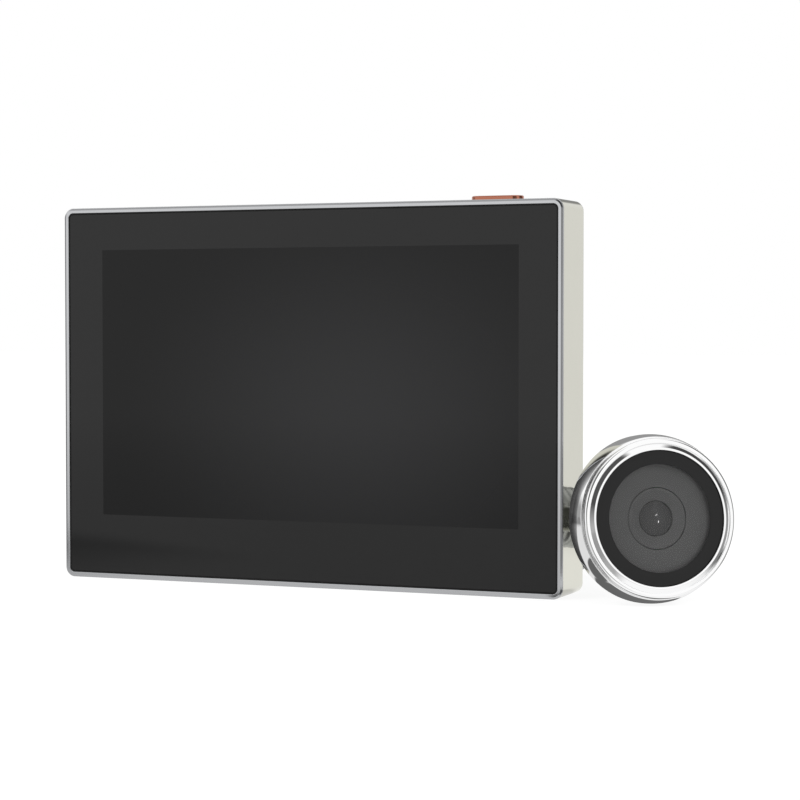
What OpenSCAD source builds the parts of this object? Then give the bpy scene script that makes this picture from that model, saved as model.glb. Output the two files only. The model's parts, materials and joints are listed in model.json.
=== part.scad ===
// Peephole door camera: indoor monitor, door bracket and outdoor camera head.
// Millimetres, +Z up. The screen faces -Y, and the origin is the middle of the monitor's foot.

/* [Screen and monitor] */
// Width of the lit area
screen_w = 108; // [96:0.5:130]
// Height of the lit area
screen_h = 64.8; // [56:0.2:80]
// Black border and frame left and right of the lit area
border_side = 10.6; // [9:0.1:14]
// Black border and frame above the lit area
border_top = 10.3; // [9:0.1:14]
// Black border and frame below the lit area
border_foot = 15.65; // [12:0.05:20]
// Depth of the monitor from front to back
monitor_d = 15.9; // [14.5:0.1:20]
// Corner radius seen from the front
corner_r = 2.4; // [2.2:0.1:3.4]
// Radius of the rounded back edge
back_round = 1.1; // [1:0.1:2.1]
// Thickness of the housing's walls
wall = 1.6; // [1.4:0.1:1.9]

/* [Front frame and glass] */
// Width of the frame's front face, with its chamfer
frame_lip = 1.2; // [1:0.05:1.6]
// Width of the chamfer round the frame, seen from the front
frame_chamfer_w = 0.5; // [0.2:0.05:0.6]
// Depth of that chamfer
frame_chamfer_d = 0.2; // [0.1:0.05:0.4]
// Thickness of the frame's front lip
lip_t = 0.6; // [0.55:0.05:1]
// Thickness of the housing's rim outside the frame's web
rim_t = 0.6; // [0.4:0.05:0.7]
// Reach of the ledge that carries the glass, from the housing's side
ledge_reach = 3; // [2.6:0.1:3.4]
// Thickness of that ledge
ledge_t = 1.6; // [1:0.1:2]
// Width of the dark gap between frame and glass
glass_gap = 0.3; // [0.2:0.05:0.6]
// How far the glass lies below the frame's lip
glass_sink = 0.15; // [0.05:0.05:0.4]
// Thickness of the cover glass
glass_t = 1.1; // [0.7:0.1:1.4]
// Chamfer on the glass's front edge
glass_chamfer = 0.1; // [0.05:0.05:0.3]
// Thickness of the tape under the glass
tape_t = 0.3; // [0.1:0.05:0.4]

/* [Inside the monitor] */
// Thickness of the display panel
panel_t = 2.6; // [2:0.1:2.8]
// Thickness of the lit cell in the panel's face
cell_t = 0.9; // [0.5:0.1:1.2]
// Thickness of the sheet-metal tray
tray_t = 0.8; // [0.5:0.1:0.9]
// Height of the board's standoffs on the tray
standoff_h = 1.4; // [0.8:0.1:1.6]
// Height of the main board
board_h = 58; // [50:0.5:60]
// Thickness of the main board
board_t = 1; // [0.8:0.1:1.2]
// Height of the battery
battery_h = 66; // [40:0.5:70]
// Thickness of the battery
battery_t = 5.2; // [3:0.1:5.3]
// Height of the speaker
speaker_h = 13; // [10:0.5:14]
// Radius of one grille hole
grille_r = 0.6; // [0.4:0.05:0.7]
// Spacing of the grille holes
grille_step = 2.2; // [1.8:0.1:3]
// Width of the charging socket
charge_w = 8.9; // [8.6:0.1:9]
// Height of the charging socket
charge_h = 3.2; // [3:0.1:3.3]
// Width of the card socket
card_w = 12; // [11.5:0.1:14]
// Height of the card socket
card_h = 1.5; // [1.3:0.1:2]

/* [Top button] */
// Length of the button
button_l = 12.5; // [9:0.1:15]
// Width of the button
button_w = 4.2; // [3.2:0.1:5]
// How far the button stands proud
button_proud = 1.2; // [1:0.05:2]
// Travel of the button
button_travel = 0.8; // [0.4:0.05:0.9]
// Distance of the button's middle from the monitor's right side
button_from_side = 18.5; // [16:0.5:30]
// Rounding of the button's top edge
button_round = 0.35; // [0.2:0.05:0.5]

/* [Door bracket] */
// Width of the bracket plate
bracket_w = 66; // [64:0.5:70]
// Height of the bracket plate
bracket_h = 62; // [61:0.5:66]
// Thickness of the bracket plate
bracket_t = 1.5; // [1:0.1:1.8]
// How far the plate stands behind the monitor's back
bracket_proud = 0.3; // [0.1:0.1:1]
// Depth of the recess that takes the bracket
recess_d = 3; // [2.8:0.1:3.4]
// Radius of the cup for the clamp nut
cup_r = 16.5; // [15:0.1:17]
// Width of one hook
hook_w = 7; // [5:0.5:7.5]
// Height of one hook's tip
hook_tip = 5; // [3.5:0.1:5.2]
// Thickness of the hook's metal
hook_t = 1.3; // [1:0.1:1.5]
// Half the distance between left and right hooks
hook_x = 20; // [19.8:0.1:21]
// Height of the upper hooks above the monitor's middle
hook_high = 24; // [23:0.5:25]
// Depth of the lower hooks below the monitor's middle
hook_low = 16; // [15:0.5:17]
// Distance between the screw holes across
screw_span_x = 57; // [55:0.5:58]
// Distance between the screw holes up and down
screw_span_z = 40; // [34:0.5:48]
// Radius of the screw holes
screw_r = 2.1; // [1.6:0.1:2.3]

/* [Camera head] */
// Radius of the flange
flange_r = 18.9; // [17.5:0.1:22]
// Thickness of the flange's straight rim, with its rounded back edge
flange_t = 1.9; // [1.6:0.1:2.4]
// Rounding of the flange's back edge
flange_round = 0.7; // [0.4:0.05:1]
// Height of the body from its back to the bezel
body_h = 6.1; // [5.6:0.1:6.2]
// Radius of the curve from the flange in to the bezel
drum_curve = 12; // [9:0.5:20]
// Step in from the flange to the bezel
bezel_step = 1.1; // [1:0.05:1.5]
// Width of the bezel round the glass
bezel_land = 2.7; // [2.6:0.05:3]
// Rounding of the bezel's front edge
bezel_round = 0.5; // [0.3:0.1:0.8]
// Width of the sloped groove round the glass
groove_w = 1; // [0.6:0.05:1.1]
// Depth of that groove at its outer wall
groove_d = 0.4; // [0.2:0.05:0.5]
// Thickness of the round glass
lens_glass_t = 1.1; // [0.8:0.1:1.4]
// Height of the round glass's front above the door
lens_glass_z = 8; // [7.8:0.1:9]
// Height of the bezel's rim above the glass
rim_proud = 0.35; // [0.1:0.05:0.6]
// Width of the black ring behind the glass
mask_w = 3.1; // [2.4:0.1:4]
// Radius of the lens's retaining ring
lens_ring_r = 6.85; // [6.2:0.05:7.5]
// Radius of the front lens
lens_r = 3.85; // [3:0.05:4.2]
// Radius of curvature of the front lens
lens_curve = 7; // [5:0.5:12]

/* [Door tube and nut] */
// Radius of the threaded tube
tube_r = 7.2; // [6.8:0.05:7.8]
// Thickness of the tube's wall
tube_wall = 1.8; // [1.7:0.05:2]
// Length of the tube's plain end past the nut
pilot_l = 11; // [6:0.5:16]
// Width of one keyway
keyway_w = 5; // [3:0.1:5]
// Depth of one keyway
keyway_d = 0.9; // [0.6:0.05:1]
// Radius of the ring nut
nut_r = 13.15; // [12:0.05:14.5]
// Thickness of the ring nut
nut_t = 3.5; // [2.5:0.1:5]
// Distance from the door's face to the nut's far side
nut_reach = 59.6; // [50:0.1:64]
// Radius of the keyed washer
washer_r = 12.4; // [11:0.1:13.5]
// Thickness of the keyed washer
washer_t = 1.2; // [0.8:0.1:2]
// Number of grip notches round the nut
nut_notches = 18; // [8:1:24]

/* [Place of the head] */
// Turn of the head away from the monitor's front, in degrees
head_turn = 38.3; // [30:0.1:40]
// Gap between the tube and the monitor's back corner
tube_gap = 0.5; // [0.4:0.1:4]
// Distance of the head's door face ahead of the monitor's back
head_ahead = 11.6; // [10.5:0.05:14]

/* [Clearances] */
// Gap between fixed pieces that fit together
fit_gap = 0.05; // [0.02:0.01:0.08]
// Gap between pieces that move on each other
run_gap = 0.3; // [0.2:0.05:0.35]

/* [Hidden] */
$fn = 72;
// How far a cut runs past the face it opens
past = 1;
small_fn = 24;
no_chamfer = [0, 0];
// Monitor's outline
monitor_w = screen_w + 2 * border_side;
monitor_h = screen_h + border_top + border_foot;
screen_up = (border_foot - border_top) / 2;
least_corner = 1;
glass_inset = frame_lip + glass_gap;
web_inset = rim_t + fit_gap;
// Depths below the monitor's front plane
glass_back = glass_sink + glass_t;
ledge_front = glass_back + tape_t;
ledge_back = ledge_front + ledge_t;
panel_back = glass_back + panel_t;
tray_gap = 0.25;
tray_front = panel_back + tray_gap;
tray_back = tray_front + tray_t;
board_front = tray_back + standoff_h;
board_back = board_front + board_t;
battery_front = tray_back + run_gap;
cup_floor_t = 1;
cup_gap = 0.5;
cup_floor = tray_back + cup_gap + cup_floor_t;
recess_floor = monitor_d - recess_d;
back_inner = monitor_d - wall;
plate_back = monitor_d + bracket_proud;
plate_front = plate_back - bracket_t;
// Display panel and tray, inside the ledge
panel_room = 4.3;
panel_w = monitor_w - 2 * (ledge_reach + panel_room);
panel_h = monitor_h - 2 * (ledge_reach + panel_room);
cell_border = 0.5;
tray_room = 0.8;
tray_w = monitor_w - 2 * (ledge_reach + tray_room);
tray_fold = 0.6;
tray_fold_h = 1;
tray_fold_short = 3;
ribbon_slot = [8, 3];
// Screw posts in the corners
post_inset = 4.6;
post_r = 2.2;
post_x = monitor_w / 2 - post_inset;
post_y = monitor_h / 2 - post_inset;
case_screw_r = 1;
case_screw_head_r = 1.7;
case_screw_head_t = 1;
case_screw_sink = 0.3;
case_screw_room = 0.2;
case_screw_short = 0.4;
case_screw_tip = ledge_front + case_screw_short;
// Recess, hooks and pockets
hook_free = 0.5;
slide_travel = hook_tip + hook_free;
recess_room = 1;
recess_end = 0.6;
recess_w = bracket_w + 2 * recess_room;
recess_top = bracket_h / 2 + recess_end;
recess_foot = bracket_h / 2 + slide_travel + recess_end;
recess_r = 4;
bracket_corner = 3;
hook_front = recess_floor - wall - run_gap - hook_t;
hook_play = 0.4;
hook_window = 7;
pocket_wall = 1.2;
pocket_front = hook_front - hook_play;
hook_spots = [[-hook_x, hook_high], [hook_x, hook_high], [-hook_x, -hook_low], [hook_x, -hook_low]];
tube_room = 0.4;
centre_hole_r = tube_r + tube_room;
screw_sink = 0.8;
// Rooms left and right of the hook pockets
pocket_reach = hook_x + hook_w / 2 + hook_play + pocket_wall;
side_room = monitor_w / 2 - wall - pocket_reach;
board_wall_gap = 1;
board_pocket_gap = 2.8;
board_w = side_room - board_wall_gap - board_pocket_gap;
board_x = -(monitor_w / 2 - wall - board_wall_gap - board_w / 2);
board_top_gap = 2;
board_y = panel_h / 2 - board_top_gap - board_h / 2;
board_notch = 4;
board_hole_r = 0.9;
standoff_r = 1.5;
standoff_inset = 3;
shield_h = 1.8;
shield_w = board_w * 0.45;
shield_long = board_h * 0.3;
shield_short = board_h * 0.2;
shield_gap = 2;
battery_gap = 2.9;
battery_w = side_room - 2 * battery_gap;
battery_x = pocket_reach + side_room / 2;
battery_corner = 2;
battery_soft = 1;
battery_fold = 0.4;
// Sockets in the left wall
charge_drop = 15;
card_rise = 5;
charge_y = board_y - charge_drop;
card_y = board_y + card_rise;
socket_x = -(monitor_w / 2 - wall - fit_gap);
socket_room = 0.2;
charge_len = 7.3;
charge_skin = 0.3;
tongue_t = 0.7;
tongue_edge = 1;
card_len = 14;
card_skin = 0.3;
// Sound, between the recess and the left wall
sound_room = (monitor_w - recess_w) / 2 - 2 * wall;
speaker_gap = 3.65;
speaker_w = sound_room - 2 * speaker_gap;
speaker_x = -(recess_w + sound_room) / 2 - wall;
speaker_lift = 6;
speaker_y = -(monitor_h / 2 - wall - speaker_lift - speaker_h / 2);
speaker_t = 3.6;
speaker_rim = 1.5;
cone_d = 0.8;
mic_x = speaker_x + speaker_w / 2;
mic_size = 3;
mic_t = 1.2;
mic_hole_r = 0.6;
antenna_w = speaker_w * 0.8;
antenna_h = 9;
antenna_t = 0.3;
antenna_top = 7.5;
ribbon_w = 10;
ribbon_h = 4;
ribbon_t = 1.6;
ribbon_edge = 3.5;
// Button and its switch under the top wall
button_x = monitor_w / 2 - button_from_side;
mid_depth = monitor_d / 2;
button_flange = 0.7;
button_flange_t = 0.7;
button_inner = monitor_h / 2 - wall - run_gap;
switch_spare = 0.15;
switch_top = button_inner - button_flange_t - button_travel - switch_spare;
switch_knob_r = 1.1;
switch_knob_h = 0.7;
switch_case = [6, 1.9, 3.5];
switch_plate = [14, 0.8, 5.6];
// Heights above the door's face, along the head's own axis
seal_t = 1;
seal_inner_r = 9.5;
seal_margin = 1.5;
seal_outer_r = flange_r - seal_margin;
seal_seat = 0.4;
body_back = seal_t - seal_seat;
rim_top = body_back + flange_t;
body_front = body_back + body_h;
floor_t = 1.6;
body_floor = body_back + floor_t;
bezel_r = flange_r - bezel_step;
lens_glass_r = bezel_r - bezel_land;
window_r = lens_glass_r - mask_w;
skirt_t = 0.9;
spigot_r = bezel_r - skirt_t;
spigot_t = 2;
cavity_r = spigot_r - spigot_t;
parting_gap = 0.15;
bezel_back = body_front + parting_gap;
bezel_top = lens_glass_z + rim_proud;
groove_from = 0.55;
groove_in = lens_glass_r + groove_from;
groove_out = groove_in + groove_w;
glass_seat = lens_glass_z - lens_glass_t;
mask_t = 0.15;
mask_back = glass_seat - mask_t;
cushion_t = 0.3;
cushion_back = mask_back - cushion_t;
ledge_depth = 0.85;
spigot_back = cushion_back - ledge_depth;
spigot_seat = spigot_back - fit_gap;
inner_ledge_w = 0.8;
inner_ledge_r = lens_glass_r - inner_ledge_w;
collar_r = tube_r + tube_wall;
collar_t = 1;
collar_top = body_floor + collar_t;
board_lift = 0.1;
ring_board_back = collar_top + board_lift;
ring_board_t = 0.8;
ring_board_front = ring_board_back + ring_board_t;
ring_board_room = 0.7;
ring_board_r = cavity_r - ring_board_room;
shroud_lap = 0.2;
shroud_r = window_r + shroud_lap;
shroud_drop = 0.55;
shroud_top = mask_back - shroud_drop;
shroud_t = 0.7;
shroud_skirt = 0.8;
lens_drop = 0.05;
lens_top = shroud_top - lens_drop;
ring_dish = 0.5;
ring_land = 0.6;
ring_gap = 0.1;
barrel_r = 4.6;
barrel_step = 0.7;
barrel_shoulder = 0.4;
barrel_back = -5;
sensor_size = 5.6;
sensor_t = 1;
sensor_gap = 0.1;
sensor_board_t = 0.9;
sensor_back = barrel_back - sensor_gap - sensor_t;
sensor_board_back = sensor_back - sensor_board_t;
lamp_count = 6;
lamp_r = 0.9;
lamp_h = 2;
lamp_gap = 0.1;
lamp_ring_r = shroud_r + lamp_gap + lamp_r;
head_screw_r = 0.7;
head_screw_head_r = 1.2;
head_screw_head_t = 0.7;
head_screw_bite = 0.7;
head_screw_ring_r = (cavity_r + spigot_r) / 2;
// Tube, washer and nut
pilot_step = 0.2;
pilot_r = tube_r - pilot_step;
relief_step = 0.3;
relief_r = pilot_r - relief_step;
relief_w = 1;
bore_r = tube_r - tube_wall;
bore_step = 0.2;
wide_bore_r = bore_r + bore_step;
bore_room = 1;
wide_bore_end = sensor_board_back - bore_room;
key_room = 1;
keyway_start = wide_bore_end - key_room;
nut_front = -nut_reach + nut_t;
washer_back = nut_front + run_gap;
thread_end = -nut_reach - relief_w;
tube_end = thread_end - pilot_l;
nut_bore_r = tube_r + run_gap;
notch_r = 0.9;
// The head leans back until the nut's rim and the flange's rim stand on one floor
flange_low = body_back + flange_round;
head_lean = atan((flange_r - nut_r) / (flange_low + nut_reach));
head_up = (flange_r - flange_round) * cos(head_lean) + flange_round - flange_low * sin(head_lean);
corner_clear = tube_r + tube_gap + back_round;
head_side = (corner_clear + (head_ahead - back_round) * sin(head_turn)) / cos(head_turn) - back_round;
head_x = monitor_w / 2 + head_side;
head_y = monitor_d / 2 - head_ahead;

// Places a piece drawn in the monitor's own plane: x right, y up, depth along -z
module in_monitor() {
    translate([0, -monitor_d / 2, monitor_h / 2]) rotate([90, 0, 0]) children();
}

// Places a piece drawn along the head's own axis: z = 0 is the door's face, +z looks outwards
module in_head() {
    translate([head_x, head_y, head_up]) rotate([90 - head_lean, 0, head_turn]) children();
}

module rounded_rect(w, h, r) {
    square([w - 2 * r, h], center = true);
    square([w, h - 2 * r], center = true);
    for (sx = [-1, 1], sy = [-1, 1])
        translate([sx * (w / 2 - r), sy * (h / 2 - r)]) circle(r);
}

module slab(w, h, r, front, back) {
    translate([0, 0, -back]) linear_extrude(back - front) rounded_rect(w, h, r);
}

// Slab with the monitor's outline drawn in by an inset
module housing_slab(inset, front, back) {
    slab(monitor_w - 2 * inset, monitor_h - 2 * inset, max(corner_r - inset, least_corner), front, back);
}

module housing_ring(outer, inner, front, back) {
    difference() {
        housing_slab(outer, front, back);
        housing_slab(inner, front - past, back + past);
    }
}

// Half section of a block's edge: chamfer of a width and a depth at the front, round at the back
module edge_profile(half, front, back, chamfer, fillet) {
    nose = chamfer[0] > 0 ? [[half - chamfer[0], -front], [half, -front - chamfer[1]]] : [[half, -front]];
    polygon(concat([[0, -front]], nose, [[half, fillet - back], [0, fillet - back]]));
    if (fillet > 0) {
        translate([0, -back]) square([half - fillet, fillet]);
        intersection() {
            translate([half - fillet, fillet - back]) circle(fillet);
            translate([half - fillet, -back]) square(fillet);
        }
    }
}

// Block with a round-cornered outline whose edge section runs all the way round
module edged_block(w, h, r, front, back, chamfer, fillet) {
    translate([r - w / 2, 0, 0]) rotate([90, 0, 90]) linear_extrude(w - 2 * r)
        for (side = [0, 1]) mirror([side, 0]) edge_profile(h / 2, front, back, chamfer, fillet);
    if (h > 2 * r)
        translate([0, h / 2 - r, 0]) rotate([90, 0, 0]) linear_extrude(h - 2 * r)
            for (side = [0, 1]) mirror([side, 0]) edge_profile(w / 2, front, back, chamfer, fillet);
    for (sx = [-1, 1], sy = (h > 2 * r) ? [-1, 1] : [0])
        translate([sx * (w / 2 - r), sy * (h / 2 - r), 0])
            rotate_extrude() edge_profile(r, front, back, chamfer, fillet);
}

// Ring between two radii and two heights
module ring(inner, outer, back, front) {
    translate([0, 0, back]) linear_extrude(front - back) difference() {
        circle(outer);
        circle(inner);
    }
}

// Half section of the body's outside: rounded back edge, straight rim and a curve in to the bezel
module drum_profile() {
    rim_low = body_back + flange_round;
    translate([0, body_back]) square([flange_r - flange_round, flange_t]);
    translate([0, rim_low]) square([flange_r, rim_top - rim_low]);
    translate([flange_r - flange_round, rim_low]) circle(flange_round);
    intersection() {
        translate([flange_r - drum_curve, rim_top]) circle(drum_curve);
        translate([0, rim_top]) square([flange_r, body_front - rim_top]);
    }
}

module at_posts() {
    for (sx = [-1, 1], sy = [-1, 1]) translate([sx * post_x, sy * post_y, 0]) children();
}

module at_standoffs() {
    for (sx = [-1, 1], sy = [-1, 1])
        translate([board_x + sx * (board_w / 2 - standoff_inset),
                   board_y + sy * (board_h / 2 - standoff_inset), 0])
            children();
}

module at_hooks() {
    for (spot = hook_spots) translate([spot[0], spot[1], 0]) children();
}

module at_bracket_screws() {
    for (sx = [-1, 1], sy = [-1, 1])
        translate([sx * screw_span_x / 2, sy * screw_span_z / 2, 0]) children();
}

module at_head_screws() {
    for (i = [0:2]) rotate([0, 0, 90 + 120 * i]) translate([head_screw_ring_r, 0, 0]) children();
}

// Frame round the glass: chamfered lip, web inside the housing's rim, ledge and screw bosses
module front_frame() {
    color("silver") in_monitor() difference() {
        union() {
            difference() {
                edged_block(monitor_w, monitor_h, corner_r, 0, lip_t, [frame_chamfer_w, frame_chamfer_d], 0);
                housing_slab(frame_lip, -past, lip_t + past);
            }
            housing_ring(web_inset, frame_lip, lip_t, ledge_front);
            housing_ring(web_inset, ledge_reach, ledge_front, ledge_back);
            at_posts() translate([0, 0, -ledge_back]) cylinder(r = post_r, h = ledge_t);
        }
        at_posts() translate([0, 0, -ledge_back - past])
            cylinder(r = case_screw_r + fit_gap, h = ledge_back + past - case_screw_tip + fit_gap);
    }
}

module cover_glass() {
    w = monitor_w - 2 * glass_inset;
    h = monitor_h - 2 * glass_inset;
    r = max(corner_r - glass_inset, least_corner);
    color("#2b2b2b") in_monitor()
        edged_block(w, h, r, glass_sink, glass_back, [glass_chamfer, glass_chamfer], 0);
}

module glass_gasket() {
    color("#101010") in_monitor() {
        housing_ring(frame_lip, glass_inset, glass_sink + glass_chamfer, glass_back);
        housing_ring(frame_lip, ledge_reach, glass_back, ledge_front);
    }
}

// The panel's frame with a pocket for the lit cell
module lcd_panel() {
    w = screen_w + 2 * cell_border;
    h = screen_h + 2 * cell_border;
    color("#3a3d40") in_monitor() difference() {
        slab(panel_w, panel_h, least_corner, glass_back, panel_back);
        translate([0, screen_up, 0]) slab(w, h, cell_border, glass_back - past, glass_back + cell_t);
    }
}

module lcd_cell() {
    w = screen_w + 2 * (cell_border - fit_gap);
    h = screen_h + 2 * (cell_border - fit_gap);
    color("#1c1e21") in_monitor() translate([0, screen_up, 0])
        slab(w, h, cell_border, glass_back, glass_back + cell_t - fit_gap);
}

// Tray behind the panel, with folded sides, a ribbon slot and the board's standoffs
module panel_tray() {
    color("#b9bcc0") in_monitor() difference() {
        union() {
            slab(tray_w, panel_h, least_corner, tray_front, tray_back);
            difference() {
                slab(tray_w, panel_h - 2 * tray_fold_short, least_corner,
                     panel_back - tray_fold_h, tray_back);
                slab(tray_w - 2 * tray_fold, panel_h, tray_fold,
                     panel_back - 2 * tray_fold_h, tray_back + past);
            }
            at_standoffs() translate([0, 0, -board_front]) cylinder(r = standoff_r, h = standoff_h + tray_t);
        }
        translate([board_x + board_w / 4, 2 * ribbon_slot[1] - panel_h / 2, 0])
            slab(ribbon_slot[0], ribbon_slot[1], least_corner, tray_front - past, tray_back + past);
    }
}

module main_board() {
    color("#2f5d3a") in_monitor() difference() {
        translate([board_x, board_y, 0]) slab(board_w, board_h, least_corner, board_front, board_back);
        translate([board_x + board_w / 2, board_y - board_h / 2, 0])
            slab(2 * board_notch, 3 * board_notch, least_corner, board_front - past, board_back + past);
        at_standoffs() translate([0, 0, -board_back - past])
            cylinder(r = board_hole_r, h = board_t + 2 * past);
    }
}

module board_shields() {
    color("#c4c7c9") in_monitor() translate([board_x + board_w / 5, board_y, 0]) {
        translate([0, (shield_gap + shield_long) / 2, 0])
            slab(shield_w, shield_long, least_corner, board_back, board_back + shield_h);
        translate([0, -(shield_gap + shield_short) / 2, 0])
            slab(shield_w, shield_short, least_corner, board_back, board_back + shield_h);
    }
}

module battery_pack() {
    color("#8d9297") in_monitor() translate([battery_x, 0, 0])
        edged_block(battery_w, battery_h, battery_corner, battery_front, battery_front + battery_t,
                    [battery_fold, battery_fold], battery_soft);
}

// Pocket for one bracket hook: a way in below and an undercut above
module hook_pocket() {
    w = hook_w + 2 * hook_play;
    way_in = hook_t + slide_travel + 2 * run_gap;
    translate([-w / 2, run_gap - way_in, -recess_floor - past])
        cube([w, way_in, recess_floor + past - pocket_front]);
    translate([-w / 2, 0, wall - recess_floor])
        cube([w, hook_tip + run_gap, recess_floor - wall - pocket_front]);
}

module hook_pocket_walls() {
    w = hook_w + 2 * (hook_play + pocket_wall);
    foot = hook_t + slide_travel + run_gap + pocket_wall;
    translate([-w / 2, -foot, -recess_floor])
        cube([w, foot + hook_tip + run_gap + pocket_wall, recess_floor - pocket_front + pocket_wall]);
}

module grille_holes() {
    cols = floor((speaker_w - 2 * grille_step) / grille_step / 2);
    rows = floor((speaker_h - 2 * grille_step) / grille_step / 2);
    for (i = [-cols:cols], j = [-rows:rows])
        translate([speaker_x + i * grille_step, speaker_y + j * grille_step, -monitor_d - past])
            cylinder(r = grille_r, h = wall + 2 * past, $fn = small_fn);
}

// Cut through the left wall for a socket, w along the wall and h across it
module side_cut(y, depth, w, h) {
    translate([-monitor_w / 2 - past, y, -depth]) rotate([0, 90, 0]) linear_extrude(wall + 2 * past)
        rounded_rect(h, w, h / 2 - fit_gap);
}

module recess_outline(grow) {
    translate([0, (recess_top - recess_foot) / 2])
        rounded_rect(recess_w + 2 * grow, recess_top + recess_foot + 2 * grow, recess_r + grow);
}

// Housing: side walls and back in one, with bracket recess, hook pockets and clamp cup
module rear_shell() {
    slot_l = button_l + 2 * run_gap;
    slot_w = button_w + 2 * run_gap;
    color("#cfcec3") in_monitor() difference() {
        union() {
            difference() {
                edged_block(monitor_w, monitor_h, corner_r, lip_t, monitor_d, no_chamfer, back_round);
                housing_slab(wall, -past, back_inner);
                housing_slab(rim_t, -past, ledge_back + fit_gap);
            }
            translate([0, 0, -monitor_d]) linear_extrude(recess_d + wall) recess_outline(wall);
            translate([0, 0, -back_inner - fit_gap])
                cylinder(r = cup_r + wall, h = back_inner + fit_gap - cup_floor + cup_floor_t);
            at_posts() translate([0, 0, -back_inner - fit_gap])
                cylinder(r = post_r, h = back_inner - ledge_back);
            at_hooks() hook_pocket_walls();
        }
        translate([0, 0, -monitor_d - past]) linear_extrude(recess_d + past) recess_outline(0);
        translate([0, 0, -monitor_d - past]) cylinder(r = cup_r, h = monitor_d + past - cup_floor);
        at_hooks() hook_pocket();
        at_posts() translate([0, 0, -monitor_d - past]) {
            cylinder(r = case_screw_r + fit_gap, h = monitor_d);
            cylinder(r = case_screw_head_r + case_screw_room, h = past + case_screw_head_t + case_screw_sink);
        }
        grille_holes();
        side_cut(charge_y, board_back + charge_h / 2, charge_w + 2 * socket_room, charge_h + 2 * socket_room);
        side_cut(card_y, board_back + card_h / 2, card_w - 2 * socket_room, card_h);
        translate([mic_x, -monitor_h / 2 - past, -mid_depth]) rotate([-90, 0, 0])
            cylinder(r = mic_hole_r, h = wall + 2 * past, $fn = small_fn);
        translate([button_x, monitor_h / 2 - wall - past, -mid_depth]) rotate([-90, 0, 0])
            linear_extrude(wall + 2 * past) rounded_rect(slot_l, slot_w, slot_w / 2 - fit_gap);
    }
}

module housing_screws() {
    head_back = monitor_d - case_screw_sink;
    color("#8a8d90") in_monitor() at_posts() translate([0, 0, -head_back]) {
        cylinder(r = case_screw_head_r, h = case_screw_head_t);
        cylinder(r = case_screw_r, h = head_back - case_screw_tip);
    }
}

// Speaker on the back wall, its cone towards the grille
module speaker() {
    color("#26282a") in_monitor() translate([speaker_x, speaker_y, 0]) difference() {
        slab(speaker_w, speaker_h, 2 * speaker_rim, back_inner - speaker_t, back_inner);
        slab(speaker_w - 2 * speaker_rim, speaker_h - 2 * speaker_rim, speaker_rim,
             back_inner - cone_d, back_inner + past);
    }
}

module microphone() {
    color("#c9b458") in_monitor()
        translate([mic_x - mic_size / 2, wall - monitor_h / 2, -mid_depth - mic_size / 2])
            cube([mic_size, mic_t, mic_size]);
}

// Pill-shaped cap that stands through the top wall on an inner flange
module top_button() {
    foot = button_inner - button_flange_t;
    color("#bb7e6a") in_monitor() translate([button_x, 0, -mid_depth]) rotate([90, 0, 0]) {
        edged_block(button_l, button_w, button_w / 2,
                    foot, monitor_h / 2 + button_proud, no_chamfer, button_round);
        edged_block(button_l + 2 * button_flange, button_w + 2 * button_flange, button_w / 2 + button_flange,
                    foot, button_inner, no_chamfer, 0);
    }
}

module button_switch() {
    case_top = -switch_knob_h;
    plate_top = case_top - switch_case[1];
    color("#3b3e42") in_monitor() translate([button_x, switch_top, -mid_depth]) {
        rotate([90, 0, 0]) cylinder(r = switch_knob_r, h = switch_knob_h + fit_gap);
        translate([-switch_case[0] / 2, plate_top, -switch_case[2] / 2]) cube(switch_case);
        translate([-switch_plate[0] / 2, plate_top - switch_plate[1], -switch_plate[2] / 2])
            cube(switch_plate);
    }
}

// Charging socket: metal tube with a closed back and its contact tongue
module charge_port() {
    round = charge_h / 2 - fit_gap;
    depth = board_back + charge_h / 2;
    inner_w = charge_w - 2 * charge_skin;
    inner_h = charge_h - 2 * charge_skin;
    color("#b4b7ba") in_monitor() translate([socket_x, charge_y, -depth]) rotate([0, 90, 0]) {
        difference() {
            linear_extrude(charge_len) rounded_rect(charge_h - fit_gap, charge_w, round - fit_gap);
            translate([0, 0, -past]) linear_extrude(charge_len + past - tongue_t)
                rounded_rect(inner_h, inner_w, inner_h / 2 - fit_gap);
        }
        translate([-tongue_t / 2, tongue_edge - charge_w / 2, tongue_t])
            cube([tongue_t, charge_w - 2 * tongue_edge, charge_len - tongue_t]);
    }
}

module card_socket() {
    color("#a9acb0") in_monitor() translate([socket_x, card_y, -board_back - card_h]) difference() {
        translate([0, -card_w / 2, 0]) cube([card_len, card_w, card_h - fit_gap]);
        translate([-past, card_skin - card_w / 2, card_skin])
            cube([card_len, card_w - 2 * card_skin, card_h - 2 * card_skin]);
    }
}

// Ribbon socket on the cup's floor
module camera_socket() {
    color("#e4e1d6") in_monitor() translate([0, cup_r - ribbon_h - ribbon_edge, -cup_floor - ribbon_t])
        difference() {
            translate([-ribbon_w / 2, 0, 0]) cube([ribbon_w, ribbon_h, ribbon_t]);
            translate([-ribbon_w * 0.4, -past, ribbon_t / 3]) cube([ribbon_w * 0.8, ribbon_h, ribbon_t / 4]);
        }
}

module radio_antenna() {
    color("#6d4c2f") in_monitor()
        translate([speaker_x, monitor_h / 2 - wall - antenna_top - antenna_h / 2, 0])
            slab(antenna_w, antenna_h, least_corner, back_inner - antenna_t, back_inner);
}

// One bent hook: a stem out of the plate and a tip that points up
module hook() {
    translate([-hook_w / 2, -hook_t, -plate_front - fit_gap])
        cube([hook_w, hook_t, plate_front + fit_gap - hook_front]);
    translate([-hook_w / 2, -hook_t, -hook_front - hook_t]) cube([hook_w, hook_tip + hook_t, hook_t]);
}

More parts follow.
